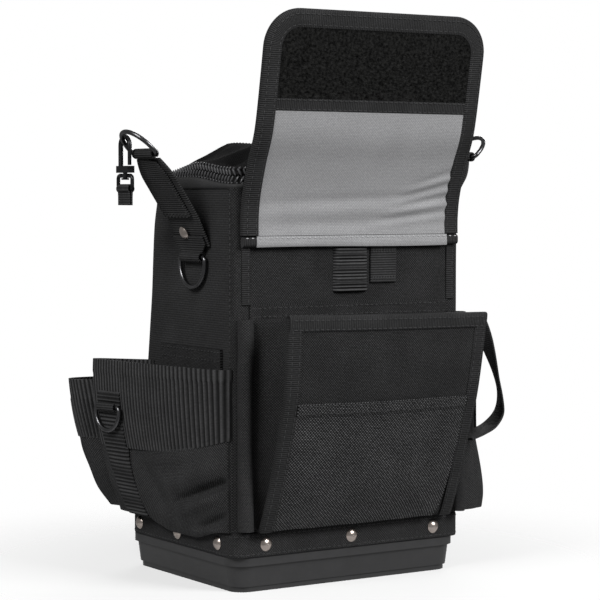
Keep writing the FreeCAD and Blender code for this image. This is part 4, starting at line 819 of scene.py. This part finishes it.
foot_run, hem_run = pocket.run_at(46.0), pocket.run_at(130.5)
share, run = np.meshgrid(np.linspace(-1, 1, 110), np.linspace(foot_run, seam_run, 110))
climb = (run - foot_run) / (seam_run - foot_run)
narrow = np.where(share > 0, 1 - 0.1 * (1 - climb) ** 5, 1.0)
patch = pocket_inside(share * narrow, run, 10.2, 1.4)
puff = 1.0 * fade(climb, 0, 1.02, 0.3) * fade(share, -1, 1, 0.25) + 0.3 * ripple(patch, 34, 29)
puff += 0.8 * np.clip((run - hem_run) / 1.2, 0, 1)
puff += folds(patch, [0, 2], (
    ((56, 126), (44, 92), 6, -1.2),
    ((66, 118), (60, 74), 5, 1.0),
    ((-40, 52), (30, 49), 5, 0.8),
))
patch = raised(patch, puff, bag_middle)
cloth(patch, 1.6, "pocket_patch", ballistic, "bag", "front_patch_pocket", rests_on=["pocket_panel"])
patch_out = facing(patch, bag_middle)
for index in (-3, -9):
    sew("bag", patch[index, 2:-2] + patch_out[index, 2:-2] * 0.15, patch_out[index, 2:-2])

edging = Shape()
depth, lift = np.transpose([
    (10.5, 0.2), (10.5, 1.5), (7, 1.75), (3, 1.75), (0.4, 1.5), (-0.6, 0.4), (-0.6, -1.6), (0.6, -2.7),
    (8, -2.7), (8, -2.3),
])
side_runs = np.linspace(pocket.run_at(45.6), top_run, 70)[:, None]
sewn_runs = np.linspace(pocket.run_at(47), top_run - 3, 80)
for way in (-1, 1):
    edging.tube(pocket_inside(way, side_runs, depth, lift))
    for inset in (2.6, 8.6):
        line = pocket_inside(way, sewn_runs, inset, 1.8)
        sew("bag", line, pocket_inside(way, sewn_runs, inset, 2.8) - line)
shares = np.linspace(-86.9, 86.9, 70)[:, None] / 87.0
edging.tube(pocket_at(shares, top_run + 1.2 - depth, lift * 1.12))
edging.piece("pocket_edging", grosgrain, "bag", "front_pocket_binding")
shares = np.linspace(-0.97, 0.97, 80)
for inset in (2.0, 8.8):
    line = pocket_at(shares, top_run + 0.6 - inset, 2.0)
    sew("bag", line, pocket_at(shares, top_run + 0.6 - inset, 3.0) - line)

# Bellows sides of the pocket: a pleat beside the wall, then cloth that dives behind the panel's edge
for way, tag in sides:
    rows = []
    for level in np.linspace(46.6, 198.5, 76):
        end = pocket_at(1.0, pocket.run_at(level), -2.6)
        edge_x = end[0] - 1.0
        deep = front_face - end[1]
        hollow = min(13.0, 0.34 * deep)
        swell = 1 + 0.08 * math.sin(level / 21)
        rows.append(curve([
            (way * 97.0, front_face - 0.6, level),
            (way * 100.2, front_face - 4.0 * swell, level),
            (way * 100.0, front_face - 9.0 * swell, level),
            (way * 95.8, front_face - 12.6 * swell, level),
            (way * 91.0, front_face - 10.6 * swell, level),
            (way * 88.4, front_face - 5.6, level),
            (way * (edge_x - hollow), front_face - 4.0 - (deep - 4.0) * 0.5, level),
            (way * edge_x, end[1], level),
        ], 54))
    bellows = np.array(rows)
    bellows[..., 0] += way * 0.5 * ripple(bellows, 44, 31)
    cloth(bellows, 1.4, "bellows_" + tag, bellows_weave, "bag", "front_gusset_" + tag,
          rests_on=["pocket_panel", "front_panel"], held="folded", centre=(0, -100, 120))

# Pieces on the front wall behind the pocket
across, up = np.meshgrid(np.linspace(-88, 88, 50), np.linspace(49, 208, 50))
slip = np.stack([across, np.full(across.shape, front_face - 1.4), up], axis=-1)
slip[..., 1] += 0.2 * ripple(slip, 40, 37)
cloth(slip, 1.1, "slip_panel", plain, "bag", "front_slip_pocket", rests_on=["front_panel"])
for level in (205.6, 199.5):
    sew("bag", np.linspace((-87, front_face - 1.5, level), (87, front_face - 1.5, level), 60), frontward)
rows = []
for level in np.linspace(216.2, 247.8, 70):
    rib = 0.5 * math.sin(level * 2 * math.pi / 2.7)
    rows.append(curve([
        (-15.7, front_face - 0.3, level),
        (-12.5, front_face - 2.9 - rib, level),
        (0, front_face - 3.2 - rib, level),
        (11.5, front_face - 2.9 - rib, level),
        (14.7, front_face - 0.3, level),
    ], 24))
Shape().sheet(np.array(rows), 0.9).piece("elastic_loop", elastic_tape, "bag", "front_elastic_loop")
path = np.linspace((28.75, front_face - 1.05, 222.2), (28.75, front_face - 1.05, 248.8), 24)
Shape().ribbon(path, frontward, 23.4, 1.9).piece("webbing_square", webbing, "bag", "front_webbing_patch")
for level in (225.2, 245.8):
    tacks = np.linspace((19, front_face - 2.0, level), (38.5, front_face - 2.0, level), 9)
    seams["bag"].beads(tacks, (0.25, 0, 1), frontward, 3.4, 0.5)

# Flat side pockets under the pouches
for way, tag in sides:
    along, up = np.meshgrid(np.linspace(-62.8, 24.8, 40), np.linspace(48.5, 175.6, 50))
    flat = np.stack([np.full(along.shape, way * 102.3), along, up], axis=-1)
    flat[..., 0] += way * 0.15 * ripple(flat, 30, 41)
    cloth(flat, 2.0, "side_flat_pocket_" + tag[0], plain, "bag", "side_flat_pocket_" + tag,
          rests_on=["wrap_panel"])
    for level in (173.4, 167.0):
        sew("bag", np.linspace((way * 102.4, -62, level), (way * 102.4, 24, level), 40), (way, 0, 0))


# Pouches with a shirred elastic band, each drawn as plan lines at three levels, as reach off the wall and y
def pouch_grid(plans, levels, way, heights, columns):
    """Rows of a pouch at the given heights; each column is a parabola through its three plan lines."""
    lines = np.array([curve(spots, columns) for spots in plans])
    bend, slope, start = np.polyfit(levels, lines.reshape(len(levels), -1), 2).reshape(lines.shape)
    level = np.broadcast_to(heights, (len(heights), columns))
    reach, along = np.moveaxis((bend * level[..., None] + slope) * level[..., None] + start, -1, 0)
    return np.stack([way * (half_width + reach), along, level], axis=-1)


def shirr(grid, wide, fine, share):
    """Upright ribs of gathered elastic, wide ones at the front and finer ones behind, and their UV run,
    which puts one painted shade valley of the elastic on each rib.
    """
    run = run_of(grid[len(grid) // 2])
    place = run / run[-1]
    pitch = wide + (fine - wide) * np.clip((place - share) / 0.2, 0, 1)
    phase = np.concatenate([[0], np.cumsum(np.diff(run) / pitch[1:])])
    depth = 0.55 + 0.3 * (pitch - fine) / max(wide - fine, 0.1)
    return -np.cos(2 * math.pi * phase) * depth, phase * rib_pitch * MM


pouch_levels = (44.2, 100.0, 162.0)
pouch_foot, pouch_head, seam_lap = 44.4, 162.0, 1.2
pouch_middle, elastic_middle = (0, 0, 100), (0, 0, 120)
pouch_columns = 320
pouch_plans = {
    "left": [
        [(0.3, -76), (5, -67), (9.5, 0), (13, 62), (9, 70), (0.6, 46)],
        [(0.3, -76), (7, -66), (18.5, 0), (29, 63), (24, 72), (0.6, 42)],
        [(0.3, -76), (11.2, -64), (22.5, 0), (33, 64), (28, 72), (0.6, 38)],
    ],
    "right": [
        [(0.3, -76), (21, -74), (34, -58), (34, 30), (24, 44), (0.6, 46)],
        [(0.3, -76), (16, -74), (25, -60), (27, 29), (20, 42), (0.6, 42)],
        [(0.3, -76), (15, -74), (26, -60), (28, 28), (20, 40), (0.6, 38)],
    ],
}
left_creases = (
    ((-20, 62), (-82, 84), 3.4, -6.4),
    ((-22, 54), (-80, 73), 5.0, 3.6),
    ((-10, 72), (-80, 94), 6.0, 2.6),
    ((-44, 44), (-80, 60), 3.0, -4.0),
    ((-36, 40), (-76, 48), 3.0, 2.4),
    ((26, 94), (-8, 50), 8.0, -3.0),
    ((20, 86), (-40, 99), 5.0, 1.8),
)
for way, tag in sides:
    node, plans = "side_pocket_" + tag, pouch_plans[tag]
    place = curve(plans[1], pouch_columns)[:, 1]
    strip_share = np.zeros(pouch_columns)
    foot = pouch_foot
    seam = np.full(pouch_columns, 104.0)
    if tag == "left":
        strip_share = np.clip((place - 33) / 4, 0, 1)
        foot = pouch_foot - 8.0 * fade(place, -72, 48, 45)
        seam = 97.5 + 14.5 * np.clip((35 - place) / 110, 0, 1) ** 2.2
    climb = np.linspace(0, 1, 60)[:, None]
    along = np.linspace(0, 1, pouch_columns)[None, :]
    pouch = pouch_grid(plans, pouch_levels, way, foot + (seam - foot) * climb, pouch_columns)
    puff = 4.0 * np.sin(math.pi * climb ** 0.8) * fade(along, 0, 0.93, 0.2) * (1 - 0.8 * strip_share)
    puff = puff + 0.7 * ripple(pouch, 30, 43) * fade(climb, 0, 1, 0.15)
    if tag == "left":
        puff += folds(pouch, [1, 2], left_creases) - 2.2 * np.exp(-((place - 34.5) / 1.6) ** 2)
    pouch = raised(pouch, puff * fade(along, 0.0, 1.0, 0.06), pouch_middle)
    pouch_piece = cloth(pouch, 1.6, "pouch_" + tag, pouch_weave, "bag", node, rests_on=["wrap_panel"],
                        held="gathered", centre=pouch_middle)
    rise = np.linspace(0, 1, 36)[:, None]
    heights = seam - seam_lap + (pouch_head + seam_lap - seam) * rise
    band = pouch_grid(plans, pouch_levels, way, heights, pouch_columns)
    # The UV run lays the elastic's painted valley shade along these ribs
    ribs, across = shirr(band, 5.2, 3.4, 0.22)
    ribs = ribs * fade(rise, -0.05, 1.3, 0.12) * (1 - strip_share)
    ribs = ribs * np.where(rise > 0.83, 0.3, 1.0) + 0.5 * np.clip((rise - 0.82) / 0.03, 0, 1)
    band = raised(band, ribs + 0.7 - 0.5 * strip_share, elastic_middle)
    cloth(band, 1.4, "pouch_elastic_" + tag, elastic, "bag", node, rests_on=[pouch_piece], held="gathered",
          centre=elastic_middle, across=across)
    if tag == "left":
        left_face = np.concatenate([pouch[:-2], band[1:]])
        left_place = place

# Pockets round the back corners
corner_levels = (46.2, 100.0, 145.0)
corner_foot, corner_seam, corner_head = 46.6, 101.0, 145.0
corner_middle = (0, 40, 100)
corner_fronts = {"left": (72.4, 70.6, 74.2), "right": (47.5, 46.5, 46.0)}
for way, tag in sides:
    node, fronts = "corner_pocket_" + tag, corner_fronts[tag]
    plans = [
        [(9.6, fronts[0]), (13.0, 84), (2.5, 96), (-28, 90), (-38, 79.4)],
        [(20, fronts[1]), (32, 88), (26, 103), (-30, 97), (-40, 79.4)],
        [(26, fronts[2]), (40, 90), (32, 106), (-32, 99), (-42, 79.4)],
    ]
    if tag == "right":
        plans = [[(0.5, line[0][1] - 6)] + line for line in plans]
    pouch = pouch_grid(plans, corner_levels, way, np.linspace(corner_foot, corner_seam, 36)[:, None], 80)
    climb = (pouch[..., 2] - corner_foot) / (corner_seam - corner_foot)
    puff = 1.6 * np.sin(math.pi * climb) + 0.6 * ripple(pouch, 26, 47)
    pouch = raised(pouch, puff * fade(np.linspace(0, 1, 80), 0, 1, 0.1), corner_middle)
    pouch_piece = cloth(pouch, 1.6, "corner_" + tag, pouch_weave, "bag", node, rests_on=["wrap_panel"],
                        held="gathered", centre=corner_middle)
    heights = np.linspace(corner_seam - 1.0, corner_head, 26)[:, None]
    band = pouch_grid(plans, corner_levels, way, heights, 260)
    # The UV run lays the elastic's painted valley shade along these ribs
    ribs, across = shirr(band, 3.4, 2.8, 0.2)
    ribs = ribs * np.where(band[..., 2] > 129, 0.2, 1.0)
    band = raised(band, ribs * 0.8 + 0.4, corner_middle)
    cloth(band, 1.6, "corner_elastic_" + tag, elastic, "bag", node, rests_on=[pouch_piece], held="gathered",
          centre=corner_middle, across=across)

# Webbing strip down the left pouch
outer_count = left_place.argmax()
outer = left_face[:, :outer_count]
columns = [np.abs(left_place[:outer_count] - wanted).argmin() for wanted in np.linspace(36.0, 62.5, 12)]
strip_levels = np.linspace(45.0, 137.6, 190)
strip = [along_line(outer[:, column], outer[:, column, 2], strip_levels) for column in columns]
strip = np.stack(strip, axis=1)
strip = raised(strip, 1.4 + 0.32 * np.sin(strip[..., 2] * (2 * math.pi / 3.2)), pouch_middle)
Shape().sheet(strip, 1.6, pouch_middle).piece("pouch_strip", ladder, "bag", "side_strip_left")

# Folded loop on the strip that holds its ring
strip_low, strip_high = 100.0, 162.0
strip_ends = np.array([[(7.0, -66.0), (29.0, 65.0)], [(11.2, -64.0), (33.0, 66.0)]])


def strip_at(level, share):
    """A point just off the left pouch's band, at a level and a share of the way to its back edge."""
    rise = (level - strip_low) / (strip_high - strip_low)
    near, far = strip_ends[0] + (strip_ends[1] - strip_ends[0]) * rise
    reach, along = near + (far - near) * share
    return np.array([-half_width - reach - 2.0, along, level])


ring_level, strip_middle = 127.0, 0.89
strip_side = unit(strip_at(ring_level, strip_middle + 0.1) - strip_at(ring_level, strip_middle - 0.1))
strip_rise = unit(strip_at(strip_high, strip_middle) - strip_at(strip_low, strip_middle))
strip_out = unit(np.cross(strip_rise, strip_side))
seat = strip_at(ring_level, strip_middle)
turn = np.radians(np.linspace(180, 430, 22))
looped = [(0.75, 8.8), (0.72, 5.0)] + [(3.6 + 2.9 * math.cos(a), 2.9 * math.sin(a)) for a in turn]
path = np.array([seat + strip_out * out + strip_rise * rise for out, rise in looped])
Shape().ribbon(path, np.cross(np.gradient(path, axis=0), strip_side), 21.0, 1.3).piece(
    "ring_loop", webbing, "bag", "side_ring_loop_left")

# Webbing loop on the right of the front pocket
path = upright(curve([
    (99.6, 197), (108, 193.5), (114, 183), (120, 168), (126.5, 150), (131, 134), (130, 121), (121, 111),
    (108, 105.5), (95.2, 102),
], 70), -91.5)
twist = 0.15 + 0.42 * np.exp(-((np.linspace(0, 1, 70) - 0.52) / 0.24) ** 2)
broad = np.column_stack([np.sin(twist), np.cos(twist), np.zeros(70)])
Shape().ribbon(path, np.cross(np.gradient(path, axis=0), broad), 24.8, 1.9).piece(
    "tape_strap", webbing, "bag", "tape_loop")

# Shoulder strap points: a base layer, and an outer layer that comes back down from the ring
strap_y = -26.0
strap_points = [(102.6, 249.3), (107.5, 260), (112.4, 270.4), (123.5, 287.5), (134.4, 304), (140.0, 312.6)]
base_width, outer_width, strap_thick = 44.0, 38.0, 1.9
bar_wrap, wrap_width, wrap_thick = 3.0, 28.0, 1.5
outer_from = 20


def round_bar(centre, turn, way):
    """Path of webbing round a ring's bar, and its outward directions."""
    spokes = np.column_stack([np.cos(turn), np.sin(turn)])
    return upright(np.array(centre) + bar_wrap * spokes, strap_y, way), upright(spokes, 0.0, way)


for way, tag in sides:
    body = tag + "_strap"
    line = curve(strap_points, 60)
    rise = np.gradient(line, axis=0)
    flat = upright(line, strap_y, way)
    out = unit(upright(rise[:, ::-1] * (1, -1), 0.0, way))
    narrow = 1 - 0.34 * np.clip((np.arange(60) - 46) / 13, 0, 1) ** 1.5
    upper_out, upper_narrow = out[outer_from:], narrow[outer_from:]
    upper = flat[outer_from:] + upper_out + np.array([0, 3.0, 0]) * upper_narrow[:, None]
    strap = Shape()
    base_flat, outer_flat = tape_section(base_width, strap_thick), tape_section(outer_width, strap_thick)
    strap.tube(sweep(flat - out, out, [base_flat * (1, share) for share in narrow]))
    strap.tube(sweep(upper, upper_out, [outer_flat * (1, share) for share in upper_narrow]))
    strap.ribbon(*round_bar((142.9, 316.7), np.linspace(-2.9, 2.9, 24) + 0.98, way), wrap_width, wrap_thick)
    strap.piece("strap_web_" + tag, webbing, body, "strap_" + tag)
    for index in (0, 2):
        seam = upper[index] + upper_out[index]
        sew(body, np.linspace(seam + (0, -17, 0), seam + (0, 17, 0), 20), upper_out[index])
    for y in (-17.2, 17.2):
        sew(body, upper[1:26] + upper_out[1:26] + (0, y, 0), upper_out[1:26])

    tab = Shape()
    tab.ribbon(*round_bar((103.8, 241.6), np.linspace(3.3, 9.2, 26), way), wrap_width, wrap_thick)
    path = np.linspace((way * 101.5, strap_y, 242.5), (way * 101.5, strap_y, 246.3), 8)
    tab.ribbon(path, (way, 0, 0), wrap_width, 2.8)
    tab.piece("anchor_web_" + tag, webbing, "bag", "anchor_" + tag)

    # The strap's sewn foot, curved from the tab up to the strap
    path = upright(curve([(103.8, 245.4), (104.3, 248.4), (105.5, 252.0), (108.0, 257.0)], 20), strap_y, way)
    sections = [tape_section(30 + 12 * min(1, step / 9), 1.4) for step in range(20)]
    bodies = ("bag", body, (way * 0.1025, -0.026, 0.2462), (way * 0.1035, -0.026, 0.2515))
    foot = Shape().tube(sweep(path, (way, 0, -0.3), sections))
    foot.piece("strap_foot_" + tag, webbing, bodies)

# Webbing tab in the swivel's eye
low, high = (np.array(corner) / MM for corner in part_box("snap_tab"))
middle_x, middle_y = (low[:2] + high[:2]) / 2
fold_z = high[2] - 3.4
turn = np.radians(np.linspace(-60, 240, 24))
path = [(middle_x + 1.0, low[2]), (middle_x + 1.05, low[2] + 6)]
path += [(middle_x + 2.6 * math.cos(a), fold_z + 2.6 * math.sin(a)) for a in turn]
path += [(middle_x - 1.05, low[2] + 6), (middle_x - 1.0, low[2])]
path = upright(curve(path, 60), middle_y)
Shape().ribbon(path, np.cross(np.gradient(path, axis=0), (0, 1, 0)), 16.8, 1.5).piece(
    "swivel_web", webbing, "swivel", "snap_tab")

# Thread of each body
for body, shape in seams.items():
    shape.piece("thread_" + body, thread, body)

# Materials of the hard pieces
for look, names in (
    (moulded, ("base_tray",)),
    (board_face, ("base_board",)),
    (nickel, ("base_rivets", "strap_rivet_left", "strap_rivet_right")),
    (gunmetal, ("zip_slider", "zip_pull", "lower_ring_left", "lower_ring_right")),
    (gunmetal, ("upper_ring_left", "upper_ring_right", "side_ring_left")),
    (blackened, ("snap_hook", "snap_gate", "snap_swivel")),
):
    for node in names:
        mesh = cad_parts[node].data
        mesh.materials.clear()
        mesh.materials.append(look.material)

# Floor, whose shadow fades out away from the bag
floor_mesh = bpy.data.meshes.new("floor")
floor_mesh.from_pydata([(-3, -3, 0), (3, -3, 0), (3, 3, 0), (-3, 3, 0)], [], [(0, 1, 2, 3)])
floor = bpy.data.objects.new("floor", floor_mesh)
scene.collection.objects.link(floor)
ground = Look("pale_floor", None, 0.9, specular=0.0)
ground.shader.inputs["Base Color"].default_value = (0.9, 0.9, 0.9, 1.0)
away = ground.node("VectorMath", {0: ground.place("Object")}, operation="LENGTH").outputs["Value"]
reach = {0: away, 1: 0.14, 2: 0.40, 3: 0.6, 4: 1.0}
far = ground.node("MapRange", reach, interpolation_type="SMOOTHSTEP").outputs[0]
clear = ground.node("BsdfTransparent").outputs[0]
both = ground.node("MixShader", {0: far, 1: ground.shader.outputs[0], 2: clear}).outputs[0]
ground.tree.links.new(both, ground.tree.nodes["Material Output"].inputs["Surface"])
floor_mesh.materials.append(ground.material)
floor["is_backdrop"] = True

# World: white behind the bag, and a dim light on it
world = bpy.data.worlds.new("studio")
scene.world = world
world.use_nodes = True
sky = Nodes(world.node_tree)
ray = sky.node("LightPath").outputs
both = {0: ray["Is Camera Ray"], 1: ray["Is Transmission Ray"]}
seen = sky.node("Math", both, operation="MAXIMUM").outputs[0]
strength = sky.node("MapRange", {"Value": seen, "To Min": 0.2, "To Max": 1.0}).outputs[0]
background = sky.tree.nodes["Background"].inputs
background["Color"].default_value = (1, 1, 1, 1)
sky.tree.links.new(strength, background["Strength"])


# Lamps and camera
def lamp(name, place, size, level):
    """A soft lamp aimed at the bag; level 1 lights a surface that faces it as brightly as its own colour."""
    data = bpy.data.lights.new(name, "AREA")
    data.shape = "RECTANGLE"
    data.size = data.size_y = size
    made = bpy.data.objects.new(name, data)
    scene.collection.objects.link(made)
    made.location = place
    toward = made.location - Vector((0, 0, 0.2))
    data.energy = level * (math.pi * toward.length) ** 2
    made.rotation_euler = toward.to_track_quat("Z", "Y").to_euler()


lamp("front", (0.7, -1.7, 1.3), 0.8, 0.86)
lamp("left", (-1.6, -0.6, 1.35), 0.8, 0.62)
lamp("back", (1.4, 1.5, 0.8), 1.0, 0.5)

picture_pixels, focal_pixels = 600, 2132
camera_yaw, camera_pitch = 33.14, 2.93
camera = bpy.data.cameras.new("camera")
camera.sensor_width = 36.0
camera.lens = camera.sensor_width * focal_pixels / picture_pixels
eye = bpy.data.objects.new("camera", camera)
scene.collection.objects.link(eye)
eye.location = (-0.8904, -1.3748, 0.2899)
eye.rotation_euler = (math.radians(90 - camera_pitch), 0, -math.radians(camera_yaw))
scene.camera = eye

low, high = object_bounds()
